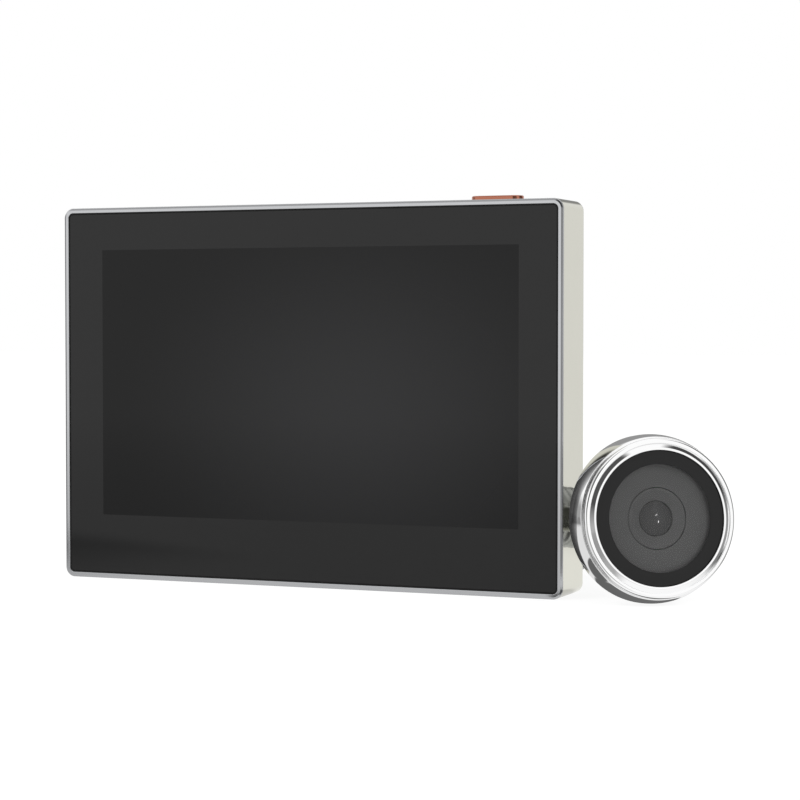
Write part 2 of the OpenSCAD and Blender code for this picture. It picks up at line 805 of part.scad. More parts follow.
// Steel plate with rounded corners, hook windows, countersunk screw holes and the tube's hole
module bracket_plate() {
    color("#9a9da0") in_monitor() difference() {
        union() {
            slab(bracket_w, bracket_h, bracket_corner, plate_front, plate_back);
            at_hooks() hook();
        }
        at_hooks() translate([-hook_w / 2, -hook_t - hook_window, -plate_back - past])
            cube([hook_w, hook_window, bracket_t + 2 * past]);
        translate([0, 0, -plate_back - past]) cylinder(r = centre_hole_r, h = bracket_t + 2 * past);
        at_bracket_screws() {
            translate([0, 0, -plate_back - past]) cylinder(r = screw_r, h = bracket_t + 2 * past);
            translate([0, 0, -plate_front - screw_sink])
                cylinder(r1 = screw_r, r2 = screw_r + 2 * screw_sink, h = 2 * screw_sink);
        }
    }
}

// Rear body of the head: drum with a straight rim, seat for the bezel's spigot and for the door seal
module head_body() {
    seat_w = seal_outer_r - seal_inner_r + 2 * fit_gap;
    color("#d9dadb") in_head() difference() {
        rotate_extrude() difference() {
            drum_profile();
            translate([0, body_floor]) square([cavity_r, body_front]);
            translate([0, spigot_seat]) square([spigot_r + fit_gap, body_front]);
            square([tube_r + fit_gap, body_floor + past]);
            translate([seal_inner_r - fit_gap, body_back - past]) square([seat_w, past + seal_seat]);
        }
        at_head_screws() {
            cylinder(r = head_screw_r + 2 * fit_gap, h = body_front + past);
            cylinder(r = head_screw_head_r + 2 * fit_gap, h = seal_t + head_screw_head_t + fit_gap);
        }
    }
}

// Front ring: thin cap with a sloped groove round the glass, a ledge under it and a spigot
module head_bezel() {
    glass_hole_r = lens_glass_r + fit_gap;
    color("#e2e3e4") in_head() difference() {
        rotate_extrude() difference() {
            union() {
                translate([0, bezel_back]) square([bezel_r, bezel_top - bezel_round - bezel_back]);
                translate([0, bezel_top - bezel_round]) square([bezel_r - bezel_round, bezel_round]);
                translate([bezel_r - bezel_round, bezel_top - bezel_round]) circle(bezel_round);
                translate([0, spigot_back]) square([spigot_r, bezel_top - bezel_round - spigot_back]);
            }
            square([inner_ledge_r, bezel_top + past]);
            translate([0, cushion_back]) square([glass_hole_r, bezel_top]);
            polygon([[groove_in, bezel_top], [groove_out, bezel_top - groove_d],
                     [groove_out, bezel_top + past], [groove_in, bezel_top + past]]);
        }
        at_head_screws() cylinder(r = head_screw_r + fit_gap, h = spigot_back + head_screw_bite + fit_gap);
    }
}

module head_glass() {
    edge = 0.2;
    color("#3a3a3a") in_head() rotate_extrude()
        polygon([[0, glass_seat], [lens_glass_r, glass_seat], [lens_glass_r, lens_glass_z - edge],
                 [lens_glass_r - edge, lens_glass_z], [0, lens_glass_z]]);
}

module glass_seal() {
    color("#161616") in_head() ring(inner_ledge_r, lens_glass_r, cushion_back, mask_back);
}

module head_mask() {
    color("#2f2f2f") in_head() ring(window_r, lens_glass_r, mask_back, glass_seat);
}

// Grey cup round the lens, open in the middle
module lens_shroud() {
    color("#545454") in_head() {
        ring(lens_ring_r + ring_gap, shroud_r, shroud_top - shroud_t, shroud_top);
        ring(shroud_r - shroud_skirt, shroud_r, ring_board_front, shroud_top - shroud_t);
    }
}

// Retaining ring, dished towards the lens
module lens_ring() {
    inner = lens_r + ring_gap;
    color("#505050") in_head() rotate_extrude()
        polygon([[inner, ring_board_front], [lens_ring_r, ring_board_front], [lens_ring_r, lens_top],
                 [lens_ring_r - ring_land, lens_top], [inner, lens_top - ring_dish]]);
}

// Front lens: a plane back and a domed front
module lens_element() {
    color("#30323a") in_head() rotate_extrude() intersection() {
        translate([0, lens_top - lens_curve]) circle(lens_curve);
        translate([0, ring_board_front]) square([lens_r, lens_top]);
    }
}

// Lens tube with a focusing shoulder
module lens_barrel() {
    front = ring_board_front - fit_gap;
    waist = barrel_r - barrel_step;
    color("#242424") in_head() rotate_extrude()
        polygon([[0, barrel_back], [waist, barrel_back], [waist, barrel_shoulder],
                 [barrel_r, barrel_shoulder], [barrel_r, front], [0, front]]);
}

module image_sensor() {
    color("#4b5a6b") in_head() translate([-sensor_size / 2, -sensor_size / 2, sensor_back])
        cube([sensor_size, sensor_size, sensor_t]);
}

module sensor_board() {
    color("#2f5d3a") in_head() translate([0, 0, sensor_board_back])
        cylinder(r = bore_r - run_gap, h = sensor_board_t);
}

module camera_board() {
    color("#2f5d3a") in_head() ring(barrel_r + run_gap, ring_board_r, ring_board_back, ring_board_front);
}

module night_lamps() {
    color("#5a4a52") in_head() for (i = [0:lamp_count - 1])
        rotate([0, 0, 360 / lamp_count * i]) translate([lamp_ring_r, 0, ring_board_front]) {
            cylinder(r = lamp_r, h = lamp_h - lamp_r);
            translate([0, 0, lamp_h - lamp_r]) sphere(lamp_r);
        }
}

module head_screws() {
    color("#8a8d90") in_head() at_head_screws() translate([0, 0, seal_t]) {
        cylinder(r = head_screw_head_r, h = head_screw_head_t);
        cylinder(r = head_screw_r, h = spigot_back + head_screw_bite - seal_t);
    }
}

module door_seal() {
    color("#1d1d1d") in_head() ring(seal_inner_r, seal_outer_r, 0, seal_t);
}

// Threaded tube: collar inside the body, two keyways and a plain end for the door's hole
module door_tube() {
    key_floor = tube_r - keyway_d;
    color("#b7b9bb") in_head() difference() {
        rotate_extrude() difference() {
            union() {
                translate([0, tube_end]) square([pilot_r, pilot_l]);
                translate([0, thread_end]) square([relief_r, relief_w]);
                translate([0, -nut_reach]) square([tube_r, nut_reach + body_floor]);
                translate([0, body_floor]) square([collar_r, collar_t]);
            }
            translate([0, tube_end - past]) square([bore_r, wide_bore_end - tube_end + past]);
            translate([0, wide_bore_end]) square([wide_bore_r, collar_top + past - wide_bore_end]);
        }
        for (side = [0, 180]) rotate([0, 0, side]) translate([key_floor, -keyway_w / 2, tube_end - past])
            cube([tube_r, keyway_w, keyway_start - tube_end + past]);
    }
}

// Washer whose two keys slide in the tube's keyways
module tube_washer() {
    key_w = keyway_w - 2 * run_gap;
    key_tip = tube_r - keyway_d + run_gap;
    color("#3a3b3d") in_head() {
        ring(nut_bore_r, washer_r, washer_back, washer_back + washer_t);
        for (side = [0, 180]) rotate([0, 0, side]) translate([key_tip, -key_w / 2, washer_back])
            cube([nut_bore_r + keyway_d - key_tip, key_w, washer_t]);
    }
}

// Round nut with grip notches in its rim
module ring_nut() {
    color("#a8aaac") in_head() difference() {
        ring(nut_bore_r, nut_r, -nut_reach, nut_front);
        for (i = [0:nut_notches - 1]) rotate([0, 0, 360 / nut_notches * (i + 0.5)])
            translate([nut_r + notch_r / 3, 0, -nut_reach - past])
                cylinder(r = notch_r, h = nut_t + 2 * past, $fn = small_fn);
    }
}

front_frame();
cover_glass();
glass_gasket();
lcd_panel();
lcd_cell();
panel_tray();
main_board();
board_shields();
battery_pack();
rear_shell();
housing_screws();
speaker();
microphone();
top_button();
button_switch();
charge_port();
card_socket();
camera_socket();
radio_antenna();
bracket_plate();
head_body();
head_bezel();
head_glass();
glass_seal();
head_mask();
lens_shroud();
lens_ring();
lens_element();
lens_barrel();
image_sensor();
sensor_board();
camera_board();
night_lamps();
head_screws();
door_seal();
door_tube();
tube_washer();
ring_nut();
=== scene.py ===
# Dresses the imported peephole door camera: finishes, turned head pieces, thread, screws and a studio
import json
import math

import bmesh
import bpy
from bpy.props import FloatProperty, FloatVectorProperty, IntProperty, PointerProperty
from mathutils import Matrix, Vector


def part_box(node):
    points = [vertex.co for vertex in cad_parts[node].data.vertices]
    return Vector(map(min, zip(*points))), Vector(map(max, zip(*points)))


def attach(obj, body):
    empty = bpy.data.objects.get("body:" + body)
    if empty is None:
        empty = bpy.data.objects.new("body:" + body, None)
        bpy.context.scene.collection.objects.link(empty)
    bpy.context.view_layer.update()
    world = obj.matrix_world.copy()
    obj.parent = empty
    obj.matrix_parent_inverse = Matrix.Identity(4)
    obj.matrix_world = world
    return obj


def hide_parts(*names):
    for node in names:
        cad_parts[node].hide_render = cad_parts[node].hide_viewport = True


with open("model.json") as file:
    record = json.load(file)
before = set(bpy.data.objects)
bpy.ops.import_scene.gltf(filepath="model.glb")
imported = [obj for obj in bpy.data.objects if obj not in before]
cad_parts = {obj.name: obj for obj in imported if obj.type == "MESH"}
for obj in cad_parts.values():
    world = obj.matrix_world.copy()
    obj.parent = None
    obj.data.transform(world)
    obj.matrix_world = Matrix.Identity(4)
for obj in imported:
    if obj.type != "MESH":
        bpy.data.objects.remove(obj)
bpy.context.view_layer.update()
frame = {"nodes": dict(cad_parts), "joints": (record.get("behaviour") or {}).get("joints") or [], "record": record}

bl_info = {
    "name": "Peephole door camera",
    "version": (1, 0, 0),
    "blender": (4, 5, 0),
    "location": "3D View > Sidebar > Door camera",
    "description": "Gives the door camera its finishes, turned pieces, thread, screws and studio",
    "category": "Object",
}

MM = 0.001
NODE_SLOT = {part["node"]: part["material_slot"] for part in frame["record"]["subparts"]}
BODIES = frame["record"]["behaviour"]["bodies"]
NODE_BODY = {node: body for body, nodes in BODIES.items() for node in nodes}
# Points round every turned piece
ROUND_STEPS = 192

# Sizes of the turned pieces in mm. Heights are along the head's axis, and negative behind the door's face
# How far the nut's middle is behind that face, and the height of the nut's back
NUT_MIDDLE = 57.85
NUT_BACK = -59.6
# Collar that holds the tube in the head: radius, back and front
COLLAR = (9.0, 2.2, 3.2)
# Height where the keyways start, and how far their floors are from the axis
KEYWAY_START = -9.0
KEY_FLOOR = 6.3
# The tube's bore: radius, radius of the wide part in the head, and the height where that part starts
BORE = (5.4, 5.6, -8.0)
# The tube's plain end: radius, start and end, and the radius of the relief between thread and plain end
PILOT = (7.0, -60.6, -71.6)
RELIEF_RADIUS = 6.7

# Middle and half the size of the display area in millimetres, along x and z
SCREEN_MIDDLE = (0.0, 48.05)
SCREEN_HALF = (54.0, 32.4)
# Middle and reach of the painted soft highlight in the display, a lighter cloud painted into its colour, along x
# and z
PAINTED_HIGHLIGHT_MIDDLE = (14.0, 41.0)
PAINTED_HIGHLIGHT_REACH = (68.0, 54.0)

# Camera: focal length in mm on a sensor of 36 mm, place in metres, tilt down and turn in degrees
CAMERA_LENS = 102.094
CAMERA_PLACE = (0.22587, -0.49404, 0.06224)
CAMERA_TILT = 1.903
CAMERA_TURN = 22.459

# Lamps: name, place, target and diameter in metres, power in watts, and whether it only makes a glint
LAMPS = (
    ("key_lamp", (-0.9, -1.1, 1.3), (0.02, 0, 0.04), 0.9, 14.0, False),
    ("side_lamp", (1.2, -0.5, 0.9), (0.05, 0, 0.03), 0.7, 5.0, False),
    ("high_catch", (0.171, -0.0566, 0.0438), (0.0867, -0.0084, 0.0201), 0.003, 0.013, True),
    ("low_catch", (0.1773, -0.0512, 0.0136), (0.0871, -0.0083, 0.0185), 0.003, 0.018, True),
)

# Dark flags of the studio: azimuth of the middle, half the width, soft edge, lower and upper edge, all
# in degrees, the level, and how far away in mm it starts on the floor, or 0 for a flag that hangs free
FLAGS = (
    (-72.0, 28.0, 8.0, -30.0, 12.0, 0.42, 14.0),
    (-72.0, 30.0, 8.0, 8.0, 46.0, 0.08, 0.0),
    (20.0, 32.0, 10.0, -30.0, 12.0, 0.28, 26.0),
    (14.0, 34.0, 10.0, 8.0, 48.0, 0.06, 0.0),
    (112.0, 28.0, 10.0, -7.0, 44.0, 0.3, 0.0),
    (-172.0, 20.0, 8.0, -30.0, 14.0, 0.35, 120.0),
    (-124.0, 40.0, 14.0, 32.0, 54.0, 0.55, 0.0),
)
# Softness of a flag's lower and upper edge in degrees, and the share by which it fades in on the floor
FLAG_SOFT = 7
FLAG_FADE = 1.8
# Middle of the flags on the floor
FLAG_MIDDLE = (85 * MM, -10 * MM, 0.0)
# The floor's level in reflections, behind and ahead: y in mm where a change starts and ends, both levels
FLOOR_CHANGES = (
    (-8.0, 10.0, 0.0, 1.03),
    (-40.0, -1000.0, 0.74, 1.0),
)
# Painted places on the floor in mm, seen only in reflections: x and y of the middle, how much narrower it is along
# y, where the change starts and ends, and the level in the middle: two painted contact shadows at the head's foot,
# then two painted pools of light
PAINTED_FLOOR_SHADE_AND_LIGHT = (
    (79.5, -6.5, 1.3, 11.5, 14.0, 0.12),
    (66.5, -17.5, 1.0, 7.0, 9.5, 0.12),
    (80.0, 45.0, 1.0, 22.0, 65.0, 1.12),
    (100.0, -28.0, 1.0, 14.0, 36.0, 1.3),
)


def head_matrix():
    """The head's own axes: z looks out of the door, x lies level, the origin is on the door's face."""
    spin = next(joint for joint in frame["joints"] if joint["name"] == "nut_spin")
    out = Vector(spin["axis"]).normalized()
    level = Vector((0, 0, 1)).cross(out).normalized()
    up = out.cross(level)
    door = Vector(spin["pos_m"]) + out * NUT_MIDDLE * MM
    turn = Matrix((level, up, out)).transposed().to_4x4()
    return Matrix.Translation(door) @ turn


def linear(hex_colour):
    """An sRGB hex colour as linear red, green, blue and alpha."""
    parts = [int(hex_colour[i:i + 2], 16) / 255 for i in (0, 2, 4)]
    return [c / 12.92 if c <= 0.04045 else ((c + 0.055) / 1.055) ** 2.4 for c in parts] + [1.0]


class HeadSizes(bpy.types.PropertyGroup):
    """Sizes of the camera head's turned pieces."""
    flange_radius: FloatProperty(
        name="Flange radius", description="Radius of the chromed flange",
        default=18.9 * MM, unit="LENGTH")
    bezel_radius: FloatProperty(
        name="Bezel radius", description="Radius of the chromed front ring",
        default=17.8 * MM, unit="LENGTH")
    glass_radius: FloatProperty(
        name="Glass radius", description="Radius of the round front glass",
        default=15.1 * MM, unit="LENGTH")
    edge: FloatProperty(
        name="Edge", description="Rounding of the turned pieces' edges", default=0.12 * MM, unit="LENGTH")


class ThreadSizes(bpy.types.PropertyGroup):
    """Sizes of the door tube and its thread."""
    tube_radius: FloatProperty(
        name="Tube radius", description="Radius over the thread's crests",
        default=7.2 * MM, unit="LENGTH")
    pitch: FloatProperty(
        name="Pitch", description="Rise of the thread in one turn", default=2.0 * MM, unit="LENGTH")
    depth: FloatProperty(
        name="Depth", description="Height of the thread's ridge", default=0.45 * MM, unit="LENGTH")
    keyway_width: FloatProperty(
        name="Keyway width", description="Width of one keyway", default=5.0 * MM, unit="LENGTH")
    turns: IntProperty(name="Turns", description="Turns of thread on the tube", default=24, min=1)


class ScrewSizes(bpy.types.PropertyGroup):
    """Sizes of the housing's four screws."""
    head_radius: FloatProperty(
        name="Head radius", description="Radius of a screw's head", default=1.7 * MM, unit="LENGTH")
    shank_radius: FloatProperty(
        name="Shank radius", description="Radius of a screw's shank", default=1.0 * MM, unit="LENGTH")
    slot_width: FloatProperty(
        name="Slot width", description="Width of one arm of the cross", default=0.42 * MM, unit="LENGTH")


class Colours(bpy.types.PropertyGroup):
    """Colours of the main finishes."""
    housing: FloatVectorProperty(
        name="Housing", description="Polished champagne aluminium", subtype="COLOR", size=4,
        default=linear("C9C8BC"), min=0, max=1)
    frame: FloatVectorProperty(
        name="Frame", description="Satin aluminium of the front frame", subtype="COLOR", size=4,
        default=linear("C8C9CB"), min=0, max=1)
    button: FloatVectorProperty(
        name="Button", description="Copper coloured top button", subtype="COLOR", size=4,
        default=linear("B97A64"), min=0, max=1)
    chrome: FloatVectorProperty(
        name="Chrome", description="Chromed rings of the head", subtype="COLOR", size=4,
        default=linear("FDFDFD"), min=0, max=1)


class DoorCamera(bpy.types.PropertyGroup):
    """All sizes and colours of the dressed door camera."""
    head: PointerProperty(type=HeadSizes)
    thread: PointerProperty(type=ThreadSizes)
    screw: PointerProperty(type=ScrewSizes)
    colours: PointerProperty(type=Colours)


def put(tree, kind, inputs=None, **settings):
    """Adds a node with its settings. An input given as a socket is linked, and any other value is set."""
    made = tree.nodes.new(kind)
    for key, value in settings.items():
        setattr(made, key, value)
    for key, value in (inputs or {}).items():
        socket = made.inputs[key]
        if isinstance(value, bpy.types.NodeSocket):
            tree.links.new(value, socket)
        else:
            socket.default_value = value
    return made


def blank(name):
    """A new material with only its output node."""
    material = bpy.data.materials.new(name)
    material.use_nodes = True
    tree = material.node_tree
    tree.nodes.clear()
    return material, tree, put(tree, "ShaderNodeOutputMaterial")


def by_ray(tree, seen, mirrored, lighting):
    """One shader for what the camera sees, what reflections find and what lights the rest."""
    path = put(tree, "ShaderNodeLightPath").outputs
    clear = put(tree, "ShaderNodeMath", {
        0: path["Is Camera Ray"], 1: path["Is Transmission Ray"]}, operation="MAXIMUM")
    first = put(tree, "ShaderNodeMixShader", {0: path["Is Glossy Ray"], 1: lighting, 2: mirrored})
    last = put(tree, "ShaderNodeMixShader", {0: clear.outputs[0], 1: first.outputs[0], 2: seen})
    return last.outputs[0]


def surface(name, colour, second, metallic, rough, spread, grain, bump, ior=1.5):
    """A finish with grain, smudges and bump. Grain is the pattern's size in mm along x, y and z."""
    material, tree, out = blank(name)
    place = put(tree, "ShaderNodeTexCoord").outputs["Object"]
    scale = [1 / (size * MM) for size in grain]
    mapped = put(tree, "ShaderNodeMapping", {"Vector": place, "Scale": scale})
    fine = put(tree, "ShaderNodeTexNoise", {"Vector": mapped.outputs[0], "Scale": 1.0, "Detail": 3.0})
    cloud = put(tree, "ShaderNodeTexNoise", {"Vector": place, "Scale": 1 / (14 * MM), "Detail": 3.0})
    blend = put(tree, "ShaderNodeMath", {0: fine.outputs[0], 1: cloud.outputs[0]}, operation="MULTIPLY")
    tint = put(tree, "ShaderNodeMix", {0: blend.outputs[0], 6: colour, 7: second}, data_type="RGBA")
    gloss = rough
    if spread:
        gloss = put(tree, "ShaderNodeMapRange", {
            "Value": cloud.outputs[0], "From Min": 0.3, "From Max": 0.7,
            "To Min": max(rough - spread, 0.0), "To Max": rough + spread}).outputs[0]
    relief = put(tree, "ShaderNodeBump", {
        "Height": fine.outputs[0], "Strength": 1.0, "Distance": bump * MM})
    skin = put(tree, "ShaderNodeBsdfPrincipled", {
        "Base Color": tint.outputs[2], "Metallic": metallic, "Roughness": gloss, "IOR": ior,
        "Normal": relief.outputs[0]})
    tree.links.new(skin.outputs[0], out.inputs[0])
    return material


MADE = {}


def finish(slot):
    """The material of one slot of the record, made once."""
    if slot not in MADE:
        MADE[slot] = FINISHES[slot]()
    return MADE[slot]


def plain(name, first, second, *numbers, ior=1.5):
    """A maker for a finish whose two colours are hex values."""
    return lambda: surface(name, linear(first), linear(second), *numbers, ior=ior)


def chosen(name, key, second, *numbers):
    """A maker for a finish whose main colour is one of the panel's colours."""
    def make():
        colour = list(getattr(bpy.context.scene.door_camera.colours, key))
        return surface(name, colour, linear(second), *numbers)
    return make


def screen_glass():
    """Cover glass with an antireflection coat, a black printed border and the dark display behind it, with a soft
    highlight painted into the display's colour.
    """
    material, tree, out = blank("printed_cover_glass")
    place = put(tree, "ShaderNodeTexCoord").outputs["Object"]
    axes = put(tree, "ShaderNodeSeparateXYZ", {"Vector": place})
    near = []
    for axis, middle, half in zip((0, 2), SCREEN_MIDDLE, SCREEN_HALF):
        near.append(put(tree, "ShaderNodeMath", {
            0: axes.outputs[axis], 1: middle * MM, 2: half * MM}, operation="COMPARE").outputs[0])
    inside = put(tree, "ShaderNodeMath", {0: near[0], 1: near[1]}, operation="MULTIPLY")
    # Painted highlight: the display's colour lightens towards the middle of this cloud
    centred = put(tree, "ShaderNodeMapping", {
        "Vector": place, "Location": (-PAINTED_HIGHLIGHT_MIDDLE[0] * MM, 0, -PAINTED_HIGHLIGHT_MIDDLE[1] * MM)})
    squeezed = put(tree, "ShaderNodeMapping", {
        "Vector": centred.outputs[0], "Scale": (1 / (PAINTED_HIGHLIGHT_REACH[0] * MM), 0, 1 / (PAINTED_HIGHLIGHT_REACH[1] * MM))})
    radial = put(tree, "ShaderNodeTexGradient", {"Vector": squeezed.outputs[0]},
                 gradient_type="SPHERICAL")
    painted_highlight = put(tree, "ShaderNodeMapRange", {"Value": radial.outputs[1]}, interpolation_type="SMOOTHSTEP")
    display = put(tree, "ShaderNodeMix", {
        0: painted_highlight.outputs[0], 6: linear("080808"), 7: linear("222223")}, data_type="RGBA")
    printed = put(tree, "ShaderNodeMix", {
        0: inside.outputs[0], 6: linear("1F1F1F"), 7: display.outputs[2]}, data_type="RGBA")
    smudge = put(tree, "ShaderNodeTexNoise", {"Vector": place, "Scale": 1 / (25 * MM), "Detail": 4.0})
    gloss = put(tree, "ShaderNodeMapRange", {
        "Value": smudge.outputs[0], "From Min": 0.35, "From Max": 0.65, "To Min": 0.03, "To Max": 0.06})
    skin = put(tree, "ShaderNodeBsdfPrincipled", {
        "Base Color": printed.outputs[2], "Roughness": gloss.outputs[0], "IOR": 1.345})
    tree.links.new(skin.outputs[0], out.inputs[0])
    return material


def window_glass():
    """Hardened clear glass in front of the lens: a thin even reflection and a slight smoky tint."""
    material, tree, out = blank("hardened_clear_glass")
    place = put(tree, "ShaderNodeTexCoord").outputs["Object"]
    smudge = put(tree, "ShaderNodeTexNoise", {"Vector": place, "Scale": 1 / (8 * MM), "Detail": 3.0})
    gloss = put(tree, "ShaderNodeMapRange", {
        "Value": smudge.outputs[0], "From Min": 0.35, "From Max": 0.65, "To Min": 0.0, "To Max": 0.02})
    skin = put(tree, "ShaderNodeBsdfPrincipled", {
        "Base Color": linear("050505"), "IOR": 1.6, "Alpha": 0.06, "Roughness": gloss.outputs[0]})
    tree.links.new(skin.outputs[0], out.inputs[0])
    return material


def circuit_board():
    """Solder mask over copper: green lacquer whose tracks show as paler lines, about 1.2 mm apart."""
    material, tree, out = blank("solder_mask_board")
    place = put(tree, "ShaderNodeTexCoord").outputs["Object"]
    mapped = put(tree, "ShaderNodeMapping", {"Vector": place, "Scale": [1 / (1.2 * MM)] * 3})
    tracks = put(tree, "ShaderNodeTexVoronoi", {"Vector": mapped.outputs[0], "Scale": 1.0},
                 feature="DISTANCE_TO_EDGE", distance="EUCLIDEAN")
    line = put(tree, "ShaderNodeMapRange", {
        "Value": tracks.outputs["Distance"], "From Min": 0.06, "From Max": 0.12,
        "To Min": 1.0, "To Max": 0.0}).outputs[0]
    tint = put(tree, "ShaderNodeMix", {
        0: line, 6: linear("1F5A33"), 7: linear("4E8A5A")}, data_type="RGBA")
    relief = put(tree, "ShaderNodeBump", {"Height": line, "Strength": 1.0, "Distance": 0.02 * MM})
    skin = put(tree, "ShaderNodeBsdfPrincipled", {
        "Base Color": tint.outputs[2], "Roughness": 0.35, "IOR": 1.5, "Normal": relief.outputs[0]})
    tree.links.new(skin.outputs[0], out.inputs[0])
    return material


FINISHES = {
    # Aluminium, satin and clear anodised: an even pale silver with a soft sheen
    "frame_metal": chosen(
        "satin_anodised_aluminium", "frame", "BEBFC2", 1.0, 0.14, 0.03, (0.25, 0.25, 0.25), 0.004),
    # Cover glass: deep black with one even reflection, and a soft highlight painted into the display
    "screen_glass": screen_glass,
    # Silicone rubber, moulded: dull black that shows as a shadow line
    "gasket_rubber": plain("silicone_rubber", "070707", "0C0C0C", 0.0, 0.7, 0.1, (0.3, 0.3, 0.3), 0.01),
    # Painted steel of the display's frame: dark grey and dull
    "panel_dark": plain(
        "painted_panel_steel", "33363A", "3C3F43", 0.0, 0.55, 0.08, (0.4, 0.4, 0.4), 0.01),
    # Display cell: smooth dark polariser film
    "cell_dark": plain("polariser_film", "15161A", "1B1C21", 0.0, 0.25, 0.04, (0.5, 0.5, 0.5), 0.003),
    # Zinc-plated sheet steel: grey with faint rolled streaks
    "tray_steel": plain("zinc_plated_sheet", "B4B7BA", "C6C9CC", 1.0, 0.35, 0.08, (6.0, 0.4, 0.4), 0.004),
    # Circuit board: green lacquer over copper tracks
    "board_green": circuit_board,
    # Tinned sheet for the shield cans: bright grey, slightly cloudy
    "shield_steel": plain("tinned_sheet", "C2C4C5", "D2D4D5", 1.0, 0.3, 0.08, (0.8, 0.8, 0.8), 0.006),
    # Aluminium pouch film of the battery: soft silver with shallow wrinkles
    "battery_foil": plain("pouch_film", "9DA1A5", "B4B8BC", 1.0, 0.38, 0.08, (3.0, 3.0, 5.0), 0.06),
    # Aluminium, polished and champagne anodised: warm pale mirror with slight haze
    "housing_metal": chosen(
        "champagne_aluminium", "housing", "C3C2B6", 1.0, 0.09, 0.03, (0.6, 0.6, 0.6), 0.0012),
    # Zinc-plated screw steel: bluish grey, satin
    "screw_steel": plain("zinc_plated_screw", "8E9195", "A2A5A9", 1.0, 0.3, 0.06, (0.2, 0.2, 0.2), 0.004),
    # Moulded ABS, black: fine spark-eroded grain
    "dark_plastic": plain(
        "moulded_black_abs", "1F2022", "292B2D", 0.0, 0.5, 0.08, (0.3, 0.3, 0.3), 0.012),
    # Aluminium, polished and copper anodised: warm pink metal with lengthwise polishing marks
    "copper_metal": chosen(
        "copper_anodised_aluminium", "button", "A8644F", 1.0, 0.2, 0.05, (4.0, 0.15, 0.15), 0.004),
    # Gold flash on the microphone's can: pale yellow, satin
    "contact_gold": plain(
        "gold_flashed_brass", "C9B465", "D9C67C", 1.0, 0.3, 0.06, (0.3, 0.3, 0.3), 0.004),
    # Stainless sheet of the sockets: grey and bright with drawn streaks
    "socket_steel": plain(
        "drawn_stainless_sheet", "AEB1B4", "C2C5C8", 1.0, 0.26, 0.06, (3.0, 0.2, 0.2), 0.004),
    # Nylon of the ribbon socket: ivory, slightly translucent and dull
    "socket_plastic": plain("ivory_nylon", "DCD8CB", "E6E2D6", 0.0, 0.45, 0.06, (0.4, 0.4, 0.4), 0.008),
    # Polyimide film of the antenna: amber brown and smooth
    "antenna_film": plain("polyimide_film", "6B4A2C", "7D5A38", 0.0, 0.35, 0.06, (1.0, 1.0, 1.0), 0.004),
    # Galvanised steel plate: mid grey with soft spangle
    "bracket_steel": plain(
        "galvanised_plate", "8B8F93", "B4B8BC", 1.0, 0.34, 0.09, (2.2, 2.2, 2.2), 0.006),
    # Zinc casting, chromed: a clear mirror with faint waviness
    "head_chrome": chosen("chromed_zinc", "chrome", "FAFAFB", 1.0, 0.035, 0.015, (1.2, 1.2, 1.2), 0.0008),
    # Hardened glass: clear with a thin even reflection
    "window_glass": window_glass,
    # Black ceramic ink fused to the glass: dense and even, with a faint clear reflection
    "mask_black": plain(
        "black_ceramic_ink", "1B1B1B", "1F1F1F", 0.0, 0.06, 0.02, (0.4, 0.4, 0.4), 0.0, ior=1.3),
    # Moulded polycarbonate round the lens: dull mid grey
    "lens_grey": plain(
        "moulded_grey_polycarbonate", "555555", "585858", 0.0, 0.6, 0.06, (0.25, 0.25, 0.25), 0.006),
    # Coated lens glass: smooth dark grey with two small clear glints
    "lens_glass": plain(
        "coated_lens_glass", "4D4D4D", "515151", 0.0, 0.1, 0.0, (1.0, 1.0, 1.0), 0.0, ior=1.2),
    # Black anodised lens tube: dull black
    "barrel_black": plain(
        "black_anodised_tube", "161616", "1E1E1E", 1.0, 0.45, 0.08, (0.2, 0.2, 0.2), 0.004),
    # Sensor chip under its cover: slate grey and glossy
    "sensor_chip": plain(
        "sensor_chip_cover", "3A4654", "4A5868", 0.0, 0.15, 0.04, (0.6, 0.6, 0.6), 0.002),
    # Infrared lamp: smoky tinted epoxy
    "lamp_plastic": plain("tinted_epoxy", "43363C", "52444A", 0.0, 0.12, 0.04, (0.5, 0.5, 0.5), 0.002),
    # Nitrile rubber of the door seal: dull black with a fine moulded grain
    "seal_rubber": plain("nitrile_rubber", "121212", "1A1A1A", 0.0, 0.72, 0.08, (0.35, 0.35, 0.35), 0.02),
    # Aluminium tube, turned: bright grey with fine tool marks round it
    "tube_metal": plain("turned_aluminium", "AEB0B2", "C4C6C8", 1.0, 0.24, 0.05, (0.4, 0.4, 0.4), 0.004),
    # Black oxide on the washer: near black with a soft metallic sheen
    "washer_dark": plain(
        "black_oxide_steel", "26272A", "333538", 1.0, 0.42, 0.08, (0.5, 0.5, 0.5), 0.008),
    # Aluminium nut, turned and satin anodised: grey with fine marks
    "nut_metal": plain("satin_aluminium", "A2A4A6", "B6B8BA", 1.0, 0.3, 0.06, (0.3, 0.3, 0.3), 0.006),
}


def add_object(name, mesh):
    """Links a new object at the origin."""
    piece = bpy.data.objects.new(name, mesh)
    bpy.context.scene.collection.objects.link(piece)
    return piece


def hand_over(piece, node):
    """The piece stands for a CAD node: it rides on its body and takes its slot and finish."""
    slot = NODE_SLOT[node]
    if not piece.data.materials:
        piece.data.materials.append(finish(slot))
    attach(piece, NODE_BODY[node])
    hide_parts(node)


def smooth(mesh, angle=32):
    """Smooth shading that keeps edges sharper than the angle."""
    mesh.shade_smooth()
    mesh.set_sharp_from_angle(angle=math.radians(angle))


